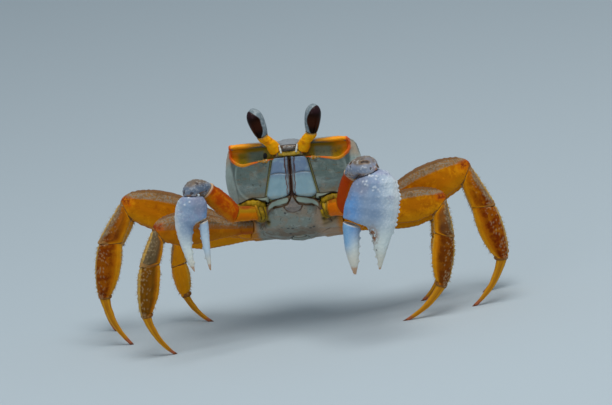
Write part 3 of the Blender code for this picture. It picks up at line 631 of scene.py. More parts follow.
f.paint(700, 100, 2, front * wide.ramp(18.9, 19.7) * tall.band(10.5, 11.5, 14.6, 15.4)
        * f.deep.ramp(-14.4, -15.6))
# Painted highlight: a thin pale yellow-green strip along the edge of the mouth opening.
f.paint(150, 140, 50, front * f.jaw.ramp(0.46, 0.32))
f.paint(50, 18, 10, front * f.jaw.ramp(-0.6, -1) * wide.ramp(3.4, 2.6))
f.paint(45, 40, 20, f.jaw.band(0.3, 0.42, 0.55, 0.8))
f.paint(250, 300, 240, f.wedge.ramp(0.3, 0.5))
f.paint(45, 40, 25, f.wedge.band(-0.05, 0.08, 0.28, 0.42))
f.paint(30, 22, 12, f.hem.ramp(0.5, 0.22))
# The underside of the hem is painted dark olive: partly the shell's own colour, partly painted shade under
# the overhang.
f.paint(100, 80, 20, f.hem.ramp(0.02, -0.08))
# Painted shade: the top of the mouth frame, under the yellow bar, is painted brown olive.
f.paint(160, 110, 40, front * wide.ramp(6, 5.2) * tall.band(9.2, 9.5, 10.6, 11))
face = wide.ramp(3.6, 3) * f.deep.ramp(-17.6, -18.2)
f.paint(200, 150, 120, face * tall.ramp(13.9, 13.4, 0, 0.95))
streaks = f.noise(1, 3, 0.6, 0.3, (0.5, 1, 1.6))
f.paint(460, 450, 420, face * tall.band(12.2, 12.5, 13.1, 13.5) * streaks.ramp(0.52, 0.62))
f.paint(50, 30, 25, face * tall.ramp(13.9, 13.5) * streaks.ramp(0.44, 0.34))
f.paint(40, 30, 25, face * tall.band(13.25, 13.45, 13.6, 13.8))
f.paint(30, 20, 20, face * tall.ramp(12, 11.6, 0, 0.9))
f.paint(230, 260, 300, wide.ramp(4.4, 3.4) * tall.ramp(13.4, 13.9) * f.deep.ramp(-13.5, -15.5, 0, 0.85))
f.carve(f.cells(0.75), 0.1, 0.5)
f.carve(fine, 0.12, 0.45)
f.rough(mottle, 0.38, 0.55)
wear(shell, f.done(), "carapace", "carapace")


# ---- Breastplate and tail flap ----
# The underside: fused chalky plates with shallow sutures, a small three-cornered plate below the mouth,
# and soft olive folds of skin round the roots of the claws. The narrow tail flap lies in its groove.
def distance_to(local, *marks, widths=None):
    """How far each point is from a line through the marks, or from the edge of a strip that wide."""
    nearest = np.full(len(local), 1e9)
    for i, (start, end) in enumerate(zip(marks, marks[1:])):
        start, end = np.array(start, float), np.array(end, float)
        span = end - start
        share = np.clip((local - start) @ span / (span @ span), 0, 1)
        away = np.linalg.norm(local - start - share[:, None] * span, axis=1)
        if widths:
            away -= widths[i] + (widths[i + 1] - widths[i]) * share
        nearest = np.minimum(nearest, away)
    return nearest


STANCE = Vector((2.87, 4.61, 0))
ARMS = {
    "right": ((-13, -15.2, 44.4), (-19.6, -20.6, 46), (-27.4, -26, 56.4), (-32, -31, 56.2)),
    "left": ((12.6, -15.2, 43.7), (17.4, -20, 44.8), (22.2, -24.6, 56.6), (28.4, -31, 58)),
}
SIDES = {"right": -1, "left": 1}

breastplate = copy_node("sternum", "breastplate_skin")
remesh(breastplate, 0.3, relax=6)
local = in_frame(points_of(breastplate), body_home)
x, y, z = local.T
folded = local * np.array((0, 1, 1)) + np.abs(local) * np.array((1, 0, 0))
# The pale swollen band on each side of the three-cornered plate runs down and back to the claw's socket.
BAND = ((0.8, -16.9, -3.7), (2.4, -16.9, -4.9), (4.5, -16.7, -5.3), (6.5, -16, -5.6), (8, -14.9, -6.5),
        (9.2, -13.9, -8.5), (10.6, -10, -10.5), (12.2, -5, -12.2))
BAND_HALF = (0.35, 1.15, 1.2, 1, 0.8, 0.65, 0.5, 0.3)
plate_edge = distance_to(folded, (0.2, -16.4, -3.6), (3.1, -15.65, -6.95), (2.2, -15, -8.1),
                         (0, -14.5, -8.75))
fold_edge = np.abs(distance_to(folded * (1, 0.45, 1), *[(a, b * 0.45, c) for a, b, c in BAND],
                               widths=[half + 0.15 for half in BAND_HALF]))
fold_edge += 3 * step_up(y, -13.4, -12.2)
sutures = np.full(len(local), 9)
for row in (-8.2, -2.6, 3.2, 8.8):
    sutures = np.minimum(sutures, distance_to(
        folded, (4.2, row + 1.4, -13.8), (8, row + 0.6, -13.9), (12.5, row - 0.6, -12.8)))
root_gap = np.full(len(local), 99)
for name, marks in ARMS.items():
    root, elbow = (body_home @ (Vector(mark) + STANCE) for mark in marks[:2])
    root_gap = np.minimum(root_gap, distance_to(local, root - (elbow - root), elbow))
fold_zone = step_up(root_gap, 8.2, 6.6) * step_up(folded[:, 0], 8.2, 9.4) * step_up(y, -6, -9)
relief = 0.08 * ripple(local, 4, 5)
relief -= 0.3 * hill(plate_edge, 0.28) + 0.28 * hill(fold_edge, 0.3)
relief -= 0.22 * hill(sutures, 0.3)
relief += fold_zone * 0.26 * np.sin(root_gap * 2 * math.pi / 1.9)
emboss(breastplate, relief)
speck = granulate(breastplate, 160, 0.3, -0.06, (1 - fold_zone) * step_up(folded[:, 0], 9.5, 7), 21)
for mark in ((-3.06, -14.05, -8.63), (-1.53, -6.78, -12.8), (-3.03, -6.93, -12.7), (-2.77, -3.17, -14.1),
             (5.58, -6.49, -12.8), (4.4, -6.01, -13)):
    speck = np.maximum(speck, hill(np.linalg.norm(local - mark, axis=1), 0.5) * 1.3)
inside = (folded[:, 0] < 3 - 0.33 * np.abs(z + 7)) & (z > -8.5) & (y < -12)
note(breastplate, line=np.minimum(np.minimum(plate_edge, fold_edge), sutures + 0.1), fold=fold_zone, low=z,
     left=step_up(x, 5, 9), wrinkle=np.sin(root_gap * 2 * math.pi / 1.9), speck=speck, band=0,
     plate=inside * step_up(plate_edge, 0, 0.5), root=step_up(folded[:, 0], 12.8, 15) * step_up(z, -7, -8.5))

f = Finish("breastplate_grey", roughness=0.5, coat=0.08)
cloud = f.noise(6.5, 3, 0.6, 0.6)
fine = f.noise(1.1, 4, 0.65)
f.paint(250, 275, 235)
f.paint(320, 245, 175, cloud.ramp(0.47, 0.6, 0, 0.9))
f.paint(380, 410, 370, f.noise(3, 3, 0.6, 0, None, (0.02, 0.01, 0)).ramp(0.52, 0.7, 0, 0.7))
f.paint(150, 110, 80, fine.ramp(0.54, 0.7, 0, 0.6))
f.paint(150, 105, 70, f.low.ramp(-11.5, -14) * cloud.ramp(0.4, 0.6, 0.3, 0.8))
f.paint(400, 260, 165, f.left * cloud.ramp(0.35, 0.55, 0.5, 0.95))
f.paint(310, 390, 320, f.band * 0.8)
f.paint(155, 135, 130, f.plate * fine.ramp(0.3, 0.6, 0.95, 0.6))
f.paint(220, 140, 12, f.fold)
# Painted shade: the troughs of the wrinkles round the claw roots are painted dark.
f.paint(70, 50, 12, f.fold * f.wrinkle.ramp(-0.1, -0.9, 0, 0.9))
f.paint(500, 180, 10, f.root)
f.paint(110, 50, 15, f.line.ramp(0.42, 0.2, 0, 0.95))
f.paint(50, 50, 50, f.speck.ramp(0.35, 0.75, 0, 0.85))
f.carve(f.cells(0.7), 0.08, 0.5)
f.carve(fine, 0.1, 0.5)
breastplate_paint = f.done()
wear(breastplate, breastplate_paint, "breastplate", "sternum")

tail = copy_node("abdomen", "tail_flap_skin")
round_out(tail, 3)
local = in_frame(points_of(tail), body_home)
seams = np.full(len(local), 9)
for y, z in ((0.2, -14.1), (3, -14.4), (6.2, -14.3), (9.4, -13.8), (12.8, -12.8), (15.4, -11.6)):
    seams = np.minimum(seams, np.abs((local[:, 1] - y) * 0.97 + (local[:, 2] - z) * 0.2))
emboss(tail, 0.05 * ripple(local, 2.5, 6) - 0.26 * hill(seams, 0.26) + 0.12 * np.cos(local[:, 0] * 1.2))
note(tail, line=seams, plate=0, band=0, fold=0, wrinkle=0, speck=0, root=0, low=0, left=0)
wear(tail, breastplate_paint, "breastplate", "abdomen")


# The three-cornered plate that points up between the mouth doors, outlined by a deep brown groove.
PLATE_TOP = Vector((0, -17.2, -3.3))
plate_down = Vector((0, 0.407, -0.914))
plate_out = Vector((0, -0.914, -0.407))
half_edge = ((0, 0), (0.85, 1.5), (1.9, 3), (3, 4.2), (2.1, 5.2), (1.1, 5.75))
plate_loop = smooth_curve([(x, -y) for x, y in half_edge] + [(0, -5.95)]
                          + [(-x, -y) for x, y in reversed(half_edge[1:])], closed=True)
rings = []
for out, size in ((-1.2, 0.9), (-0.4, 1), (-0.1, 1), (0.12, 0.96), (0.26, 0.86), (0.34, 0.65), (0.38, 0.35),
                  (0.39, 0.08)):
    rings.append([PLATE_TOP + plate_down * (3.9 + (-p.y - 3.9) * size) + Vector((p.x * size, 0, 0))
                  + plate_out * out for p in plate_loop])
front_plate = skin_sections("front_plate", rings, body_frame)
remesh(front_plate, 0.15, relax=2)
plate_marks = [PLATE_TOP + plate_down * -p.y + Vector((p.x, 0, 0)) for p in plate_loop]
front_edges = {front_plate: (plate_marks + plate_marks[:1], None)}
for side in SIDES.values():
    path = [Vector((x * side, y, z + 0.25)) for x, y, z in BAND]
    rings = []
    for i, point, ahead in along_path(path):
        outward = Vector((0, -0.914, -0.407)).lerp(Vector((0.3 * side, -0.55, -0.78)), i / 7)
        rings.append(oval(point, ahead, ahead.cross(outward), 0.5, 0.5, BAND_HALF[i], 2.3, 16))
    band = skin_sections(f"front_band_{side}", rings, body_frame)
    round_out(band, 2, 80)
    front_edges[band] = (path, BAND_HALF)
for piece, (marks, widths) in front_edges.items():
    places = points_of(piece)
    local = in_frame(places, body_home)
    emboss(piece, 0.05 * ripple(places / MM, 1.6, 9))
    edge = np.abs(distance_to(local, *marks, widths=widths))
    is_band = widths is not None
    note(piece, line=edge + 0.12 * is_band, band=is_band, plate=not is_band, low=-5, fold=0, wrinkle=0,
         speck=0, root=0, left=0)
    wear(piece, breastplate_paint, "breastplate")

# A sleeve of soft wrinkled skin closes the socket of each claw, its creases drawn together below.
f = Finish("fold_olive", roughness=0.45, specular=0.15, soft=0.04, glint=(1, 0.8, 0.5))
f.paint(210, 125, 6)
f.paint(380, 235, 10, f.noise(3).ramp(0.44, 0.6, 0, 0.9))
f.paint(360, 150, 6, f.reach.ramp(0.8, 1, 0, 0.9))
# Painted shade: the creases between the folds, where the crest value is low, are painted dark brown.
f.paint(45, 30, 10, f.crest.ramp(0.55, 0.15, 0, 0.95))
f.carve(f.noise(0.6), 0.06, 0.5)
fold_paint = f.done()
for name, marks in ARMS.items():
    root, elbow = (Vector(mark) + STANCE for mark in marks[:2])
    reach = (elbow - root).normalized()
    seat = Matrix.Translation(root) @ reach.to_track_quat("Z", "Y").to_matrix().to_4x4()
    rings, crests, reaches = [], [], []
    for k in range(61):
        share = k / 60
        ring = []
        for i in range(96):
            angle = 2 * math.pi * i / 96
            lift = math.sin(angle)
            phase = (2.7 * share ** 1.15 + 0.24 * math.sin(angle + 0.8)
                     + 0.2 * math.sin(2 * angle + 2 + 2 * share))
            crest = abs(math.sin(math.pi * phase)) ** 0.7
            size = 4.2 - 1.4 * share ** 0.8 - 2.9 * max(0, 0.3 - share)
            size += (0.42 + 0.16 * math.sin(2 * angle + 4 * share)) * (crest - 0.6)
            size += 0.14 * math.sin(3 * angle + 5 * share) + 0.07 * math.sin(7 * angle - 9 * share)
            out = -3 + 4.5 * share * (0.84 + 0.16 * lift) + 0.25 * math.sin(2 * angle + 1)
            ring.append(Vector((math.cos(angle) * size * 0.95,
                                lift * size * (1.02 if lift > 0 else 0.88), out)))
            crests.append(crest)
            reaches.append(share)
        rings.append(ring)
    fold = skin_sections(f"claw_fold_{name}", rings, seat)
    note(fold, crest=np.array(crests + [0.5, 0.5]), reach=np.array(reaches + [0, 1]))
    wear(fold, fold_paint, "breastplate")

# Above each socket a roll of the same skin closes the gap under the cheek.
for name, side in SIDES.items():
    path = smooth_curve(((19.3, -11.8, -5.6), (17.4, -13.5, -5), (14.4, -14.7, -4.5), (11.4, -14.7, -4.9),
                         (9.2, -13.7, -6)), closed=False)
    path = [Vector((point.x * side, point.y, point.z)) for point in path]
    rings = []
    for i, point, ahead in along_path(path):
        size = 1.15 * min(1, 0.35 + 0.2 * i, 0.35 + 0.2 * (len(path) - 1 - i)) + 0.1 * math.sin(1.9 * i)
        rings.append(oval(point, ahead, Vector((0, 0, 1)), size, size, size, 2.2, 20))
    roll = skin_sections(f"cheek_roll_{name}", rings, body_frame)
    remesh(roll, 0.2, relax=2)
    creases = ripple(in_frame(points_of(roll), body_home) * (1, 0.4, 0.4), 2, 14)
    emboss(roll, 0.12 * creases)
    note(roll, crest=0.78 + 0.35 * creases, reach=0)
    wear(roll, fold_paint, "breastplate")


# ---- Mouthparts ----
# Two hinged doors close the mouth. Each is a long smooth lower plate and a shorter upper one, hard and
# thin, with a hairy inner margin where a small jointed palp lies folded.
f = Finish("mouth_lavender_blue", roughness=0.38, coat=0.2)
cloud = f.noise(3.5, 3, 0.6)
f.paint(165, 275, 330)
f.paint(105, 165, 265, f.z.ramp(1.8, 5))
f.paint(215, 320, 355, cloud.ramp(0.46, 0.66, 0, 0.55))
f.paint(260, 220, 160, f.noise(0.9).ramp(0.6, 0.74, 0, 0.35))
f.paint(110, 105, 110, f.margin * f.noise(1.2).ramp(0.3, 0.6, 0.95, 0.5))
f.paint(100, 35, 20, f.margin.band(0.12, 0.28, 0.42, 0.62))
f.paint(150, 170, 100, f.strip * 0.6)
f.paint(60, 25, 12, f.x.ramp(0.8, 0.5))
f.paint(130, 140, 150, f.seam.ramp(0.32, 0.08, 0, 0.7))
f.paint(160, 190, 170, f.foot.ramp(-2.9, -3.6, 0, 0.6))
f.carve(f.noise(0.35, 2), 0.04, 0.4)
mouth_paint = f.done()

for name, side in SIDES.items():
    rings = []
    for k in range(57):
        z = -4.3 + 13.8 * k / 56
        share = max(0, min(1, (9.6 - z) / 12.6))
        outer = 5.75 + 2.85 * share
        round_off = math.sqrt(max(0, 1 - (max(0, -2.2 - z) / 2.12) ** 2 - (max(0, z - 8.5) / 1.15) ** 2))
        half = (outer - 0.3) / 2
        rings.append(oval(Vector((side * (half + 0.22), -17.7, z)), Vector((0, 0, -1)), Vector((1, 0, 0)),
                          0.3 + round_off, 1, half * (0.45 + 0.55 * round_off), 3.6, 64))
    door = skin_sections(f"mouth_door_{name}", rings, body_frame)
    remesh(door, 0.2, relax=2)
    places = points_of(door)
    local = in_frame(places, body_home)
    x, z = local[:, 0] * side, local[:, 2]
    outer = 5.75 + 2.85 * np.clip((9.6 - z) / 12.6, 0, 1)
    facing = step_up(local[:, 1], -17.9, -18.5)
    seam = np.abs(z - 4.25 - 0.12 * (x - 3) + 0.05 * (x - 3) ** 2)
    edge = x - 0.03 * (z - 4) - 0.12 * np.sin(1.3 * z + 1.1 * side) - 0.06 * np.sin(3.1 * z)
    margin = step_up(edge, 2, 0.8)
    sink = -0.34 * hill(seam, 0.24) * step_up(x, 0.8, 1.6) - 0.35 * margin * step_up(z, -3, 3)
    sink -= 0.16 * hill(x - 2.6 - 0.14 * (4 - z), 0.55) * step_up(z, 3.6, 2)
    sink += 0.1 * step_up(z, 4.4, 5.4) + 0.04 * ripple(local, 2.6, 7)
    sink *= facing
    raised = 1.2 * (1 - np.clip(x / 7, 0, 1)) ** 1.5 * step_up(z, 0, -4)
    for direction, distance in ((Vector((0, -1, 0)), sink), (Vector((0, 0, 1)), raised)):
        places = places + np.array(body_frame.to_3x3() @ direction) * (distance * MM)[:, None]
    place_points(door, places)
    strip = step_up(x, outer - 0.7, outer - 0.2)
    note(door, seam=seam, margin=margin * facing, strip=strip * facing, x=x, z=z, foot=z + raised)
    wear(door, mouth_paint, "mouthparts", f"maxilliped_{name}")

    palp = grow_rod(f"palp_{name}", 14, 0.42, 0.8, ((0.25, 0.8), (0.3, 1.25), (1.3, 0.95), (0.2, 0.75),
                    (0.25, 1.2), (1.2, 0.7), (0.8, 0.45)), (side, -18.95, 9.1), math.pi, "X")
    note(palp, seam=9, margin=0.75, strip=0, x=4, z=8, foot=5)
    wear(palp, mouth_paint, "mouthparts")


# ---- Eyes ----
# Each eye stands on a jointed yellow stalk. The bulb is a dark glossy cornea that wraps its front and
# outer side, held in a sheath of thin grey skin over the top, the inner side and the neck.
EYE_NECK, EYE_TOP, EYE_SWAY = (8.2, -20.9, 17.1), (10, -25.4, 25.5), {"right": 0.9, "left": 0.1}
f = Finish("stalk_yellow", roughness=0.42, specular=0.15, soft=0.05, glint=(1, 0.75, 0.3))
f.paint(900, 360, 2)
f.paint(920, 460, 10, f.noise(1.8).ramp(0.48, 0.68, 0, 0.8))
f.paint(550, 130, 4, f.noise(2.6, 2, 0.5, 0.3, None, (0.1, 0, 0)).ramp(0.56, 0.72, 0, 0.7))
f.paint(340, 240, 120, f.reach.ramp(-0.9, -0.2, 0, 0.7))
f.carve(f.noise(0.5), 0.06, 0.5)
stalk_paint = f.done()

f = Finish("eye_cornea_and_sheath", coat=0.03, coat_roughness=0.2, specular=0.07, glint=(1, 0.7, 0.55))
sheath = f.noise(1.3, 4, 0.65, 0.3)
f.paint(180, 230, 260)
f.paint(340, 390, 420, sheath.ramp(0.46, 0.66, 0, 0.9))
f.paint(70, 50, 50, sheath.ramp(0.4, 0.3, 0, 0.7))
cornea = f.edge.ramp(-0.06, 0.06)
f.paint(7, 2, 1, cornea)
f.paint(30, 14, 18, cornea * f.share.ramp(0.66, 0.86, 0, 0.8))
# Painted highlight: a red-brown band across the middle of the dark cornea.
glow = f.share.band(0.15, 0.35, 0.45, 0.75)
f.paint(42, 9, 3, cornea * glow * 0.7)
f.paint(4, 2, 3, cornea * f.share.band(0.35, 0.45, 0.75, 0.85) * f.turned.band(-0.2, 0.1, 0.5, 0.8))
f.paint(50, 35, 30, f.edge.band(-0.28, -0.12, -0.05, 0.02))
f.set(f.shader, {"Roughness": cornea * -0.32 + 0.44})
f.carve(f.noise(0.5) * (1 - cornea), 0.06, 0.6)
eye_paint = f.done()

for name, side in SIDES.items():
    neck = Vector((EYE_NECK[0] * side, *EYE_NECK[1:]))
    top = Vector(((EYE_TOP[0] + EYE_SWAY[name]) * side, *EYE_TOP[1:]))
    axis = (top - neck).normalized()
    stalk = copy_node(f"eyestalk_{name}")
    round_out(stalk, 3)
    local = in_frame(points_of(stalk), body_home)
    reach = (local - np.array(neck)) @ np.array(axis)
    emboss(stalk, 0.05 * ripple(local, 1.6, 8) - 0.14 * hill(reach + 2.6, 0.3))
    note(stalk, reach=reach)
    wear(stalk, stalk_paint, "eyestalk", f"eyestalk_{name}")

    bulb = copy_node(f"eye_{name}")
    round_out(bulb, 4)
    away = in_frame(points_of(bulb), body_home) - np.array(neck)
    share = away @ np.array(axis) / (top - neck).length
    outward = Vector((0.9 * side, -0.44, 0))
    outward = (outward - axis * outward.dot(axis)).normalized()
    edge = away @ np.array(outward) + 0.45
    edge = edge - 3.4 * np.clip(share - 0.62, 0, 1) ** 1.6 * 2.6 - 4.5 * np.clip(0.34 - share, 0, 1)
    edge += 0.16 * np.sin(share * 14 + side)
    emboss(bulb, 0.13 * step_up(edge, -0.05, 0.35))
    note(bulb, edge=edge, share=share, turned=away @ np.array(axis.cross(outward)) * side)
    wear(bulb, eye_paint, "eye", f"eye_{name}")


# ---- Feelers and mouth frame ----
# Between the eyestalks hang two short white antennules, folded in their pits, over the yellow bar of
# the mouth frame. The antennae are small jointed whips that stand out beside it.
f = Finish("feeler_ochre", roughness=0.42, coat=0.1)
f.paint(450, 200, 20).paint(500, 420, 260, f.noise(0.9, 2).ramp(0.5, 0.65))
f.carve(f.noise(0.3, 2), 0.04, 0.5)
feeler_paint = f.done()

for name, side in SIDES.items():
    feeler = copy_node(f"antenna_{name}")
    round_out(feeler, 2)
    wear(feeler, feeler_paint, "antenna", f"antenna_{name}")

f = Finish("antennule_white", roughness=0.4, coat=0.1)
f.paint(560, 580, 540).paint(360, 320, 240, f.noise(0.6, 2).ramp(0.5, 0.65))
f.carve(f.noise(0.3, 2), 0.04, 0.5)
white_paint = f.done()
for name, side in SIDES.items():
    antennule = grow_rod(f"antennule_{name}", 12, 0.31, 0.7, ((0.2, 1.25), (0.8, 0.9), (0.15, 0.75),
                         (0.2, 1.2), (0.7, 0.7)), (side * 2.55, -19.15, 11.25), math.radians(12 * side), "Y")
    wear(antennule, white_paint, "antenna")

rings = []
for k in range(13):
    share = k / 6 - 1
    centre = Vector((3.9 * share, -17.9 + 0.7 * share ** 2, 10.75 + 0.35 * share ** 2))
    rings.append(oval(centre, Vector((1, 0, 0)), Vector((0, 1, 0)), 0.85 - 0.3 * share ** 4,
                      0.8 - 0.3 * share ** 4, 0.85 - 0.35 * share ** 4, 2.6, 20))
bar = skin_sections("mouth_frame_bar", rings, body_frame)
f = Finish("mouth_frame_yellow", roughness=0.4, coat=0.1)
f.paint(500, 310, 20).paint(240, 100, 20, f.noise(1.4).ramp(0.54, 0.68))
f.carve(f.noise(0.4), 0.06, 0.6)
wear(bar, f.done(), "mouthparts")


# ---- Arms ----
# The two short segments that carry each claw: stout three-sided sleeves, glossy orange in front and
# red-brown along the ridge, with a white spur at the wrist end.
def limb_measure(piece, start, end, lift, slices=26):
    """Where each point is along a limb piece, from foot to ridge, and from rear to front, by its reach."""
    places = points_of(piece) / MM
    start, span = np.array(start), np.array(end - start)
    length = np.linalg.norm(span)
    axis = span / length
    lift = np.array(lift) - axis * np.dot(np.array(lift), axis)
    lift /= np.linalg.norm(lift)
    along = np.clip((places - start) @ axis / length, 0, 1)
    slot = np.minimum((along * slices).astype(int), slices - 1)
    measured = []
    for direction in (lift, np.cross(axis, lift)):
        height = (places - start) @ direction
        low, high = np.full(slices, np.inf), np.full(slices, -np.inf)
        np.minimum.at(low, slot, height)
        np.maximum.at(high, slot, height)
        empty = ~np.isfinite(low)
        low[empty], high[empty] = -1, 1
        middles = (np.arange(slices) + 0.5) / slices
        low, high = np.interp(along, middles, low), np.interp(along, middles, high)
        measured.append(np.clip(2 * (height - low) / np.maximum(high - low, 0.01) - 1, -1, 1))
    return along, measured[0], measured[1]


f = Finish("arm_orange", roughness=0.42, specular=0.11, soft=0.04, glint=(1, 0.6, 0.2))
patch = f.noise(3.2, 3, 0.6, 0.5)
f.paint(600, 155, 2)
f.paint(660, 240, 4, patch.ramp(0.48, 0.66, 0, 0.8))
f.paint(360, 200, 8, f.upper.ramp(0.6, 0.4) * f.ridge.ramp(0, 0.5, 0, 0.85))
f.paint(780, 150, 2, f.left * f.ridge.ramp(0.95, 0.6, 0, 0.75))
f.paint(420, 55, 2, f.upper * patch.ramp(0.4, 0.6, 1, 0.45))
f.paint(420, 38, 2, f.left * f.upper * 0.85)
f.paint(620, 200, 4, f.upper * f.ridge.ramp(-0.35, -0.75, 0, 0.55))
f.paint(300, 50, 10, f.ridge.ramp(0.55, 0.9) * patch.ramp(0.4, 0.6, 0.3, 0.9))
f.paint(620, 500, 340, f.along.ramp(0.93, 0.98) * f.upper * 0.7)
f.paint(200, 50, 10, f.noise(1).ramp(0.62, 0.76, 0, 0.6))
f.carve(f.noise(0.7, 4), 0.09, 0.6)
arm_paint = f.done()

for name, side in SIDES.items():
    marks = [Vector(mark) + STANCE for mark in ARMS[name]]
    for i, kind in enumerate(("ischium", "merus")):
        sleeve = copy_node(f"claw_{name}_{kind}")
        round_out(sleeve, 3)
        along, ridge, flank = limb_measure(sleeve, marks[i], marks[i + 1], Vector((0, 0, 1)))
        relief = 0.05 * ripple(points_of(sleeve) / MM, 2.4, 30 + i) + 0.22 * hill(ridge - 0.95, 0.12)
        relief -= 0.18 * hill(along - 0.86, 0.04) * (i == 1)
        relief += 0.1 * np.maximum(0, np.sin(along * 60)) * step_up(ridge, 0.8, 0.95) * (i == 1)
        emboss(sleeve, relief)
        note(sleeve, along=along, ridge=ridge, upper=i, left=side > 0)
        wear(sleeve, arm_paint, "arm", f"claw_{name}_{kind}")


# ---- Claws ----
# Wrist, palm with its fixed finger, and moving finger: thick chalky shell, lavender blue above and cream
# towards the tips, sown with tubercles and toothed along the margin. The left claw is the large one.
HAND_TILT = {"right": -2.5, "left": 6.4}
HAND_LEAN = {"right": -4.5, "left": -5}
f = Finish("wrist_lavender", roughness=0.42, coat=0.06)
patch = f.noise(2.8, 3, 0.6, 0.4)
f.paint(130, 170, 240)
f.paint(250, 295, 400, f.large)
f.paint(220, 250, 310, patch.ramp(0.46, 0.64, 0, 0.7))
f.paint(170, 125, 90, f.height.ramp(0.66, 0.86) * patch.ramp(0.38, 0.6, 0.6))
# The pale cream patches on the lower half are partly the wrist's own colour and partly a painted highlight.
f.paint(520, 450, 390, f.height.ramp(0.5, 0.28) * patch.ramp(0.4, 0.6, 0.1, 0.8))
f.paint(200, 90, 40, f.height.ramp(0.46, 0.28) * f.noise(1.4, 3, 0.6, 0.3).ramp(0.49, 0.58, 0, 0.9))
f.paint(280, 120, 50, f.outer.ramp(0.55, 0.9) * f.noise(1.6).ramp(0.45, 0.6))
f.paint(660, 660, 640, f.grain * f.large.ramp(0, 1, 0.25, 0.6))
f.paint(45, 30, 30, f.noise(2, 1, 0.4, 0, None, (0.04, 0.02, 0.01)).ramp(0.65, 0.71, 0, 0.85))
f.paint(190, 115, 55, f.blots.ramp(0.08, 0.3, 0, 0.75))
f.paint(35, 20, 15, f.blots.ramp(0.4, 0.7, 0, 0.95))
f.carve(f.cells(0.8), 0.08, 0.5)
wrist_paint = f.done()

f = Finish("claw_lavender_cream", roughness=0.4, coat=0.08, coat_roughness=0.3)
cloud = f.noise(5, 3, 0.6, 0.3)
f.paint(245, 335, 480)
# The deep blue towards the inner side and the near white towards the outer margin are partly the claw's own
# colours and partly painted shade and painted highlight.
f.paint(130, 300, 600, f.x.ramp(-1, -6.5))
f.paint(560, 650, 720, f.x.ramp(1.5, 7.5, 0, 0.9))
f.paint(270, 290, 440, cloud.ramp(0.46, 0.66) * f.z.ramp(-0.6, -0.35, 0, 0.7))
f.paint(700, 770, 750, (f.moving * 0.12 + f.z).ramp(-0.4, -0.72))
f.paint(200, 220, 300, f.z.ramp(-0.3, -0.14, 0, 0.7) * f.x.ramp(1, -2.5))
f.paint(420, 560, 720, f.moving.ramp(-0.1, -0.9) * 0.7)
# On the large moving finger the deep blue inner edge is partly its own colour and partly painted shade.
f.paint(180, 400, 660, f.moving.ramp(0.1, 0.9) * f.x.ramp(-4.8, -8.4) * f.z.ramp(-0.98, -0.7))
f.paint(680, 640, 540, f.z.ramp(-0.7, -0.94))
small_one = f.large.ramp(0.6, 0.4)
f.paint(500, 240, 100, (small_one * -0.05 + f.z).ramp(-0.955, -0.99, 0, 0.85))
f.paint(620, 500, 360, f.hinge.ramp(0.9, 0.5) * 0.8)
f.paint(130, 60, 30, f.hinge.ramp(0.36, 0.2, 0, 0.95))
f.paint(270, 100, 35, f.notch * f.noise(1.3).ramp(0.4, 0.54))
f.paint(760, 780, 780, f.margin * 0.7)
f.paint(720, 760, 800, f.grain * 0.6)
f.paint(740, 780, 820, f.coarse * 0.85)
f.paint(160, 120, 120, f.noise(2.6, 1, 0.4).ramp(0.76, 0.8, 0, 0.8))
f.carve(f.cells(0.55), 0.05, 0.5)
f.carve(f.noise(0.5), 0.05, 0.4)
hand_paint = f.done()

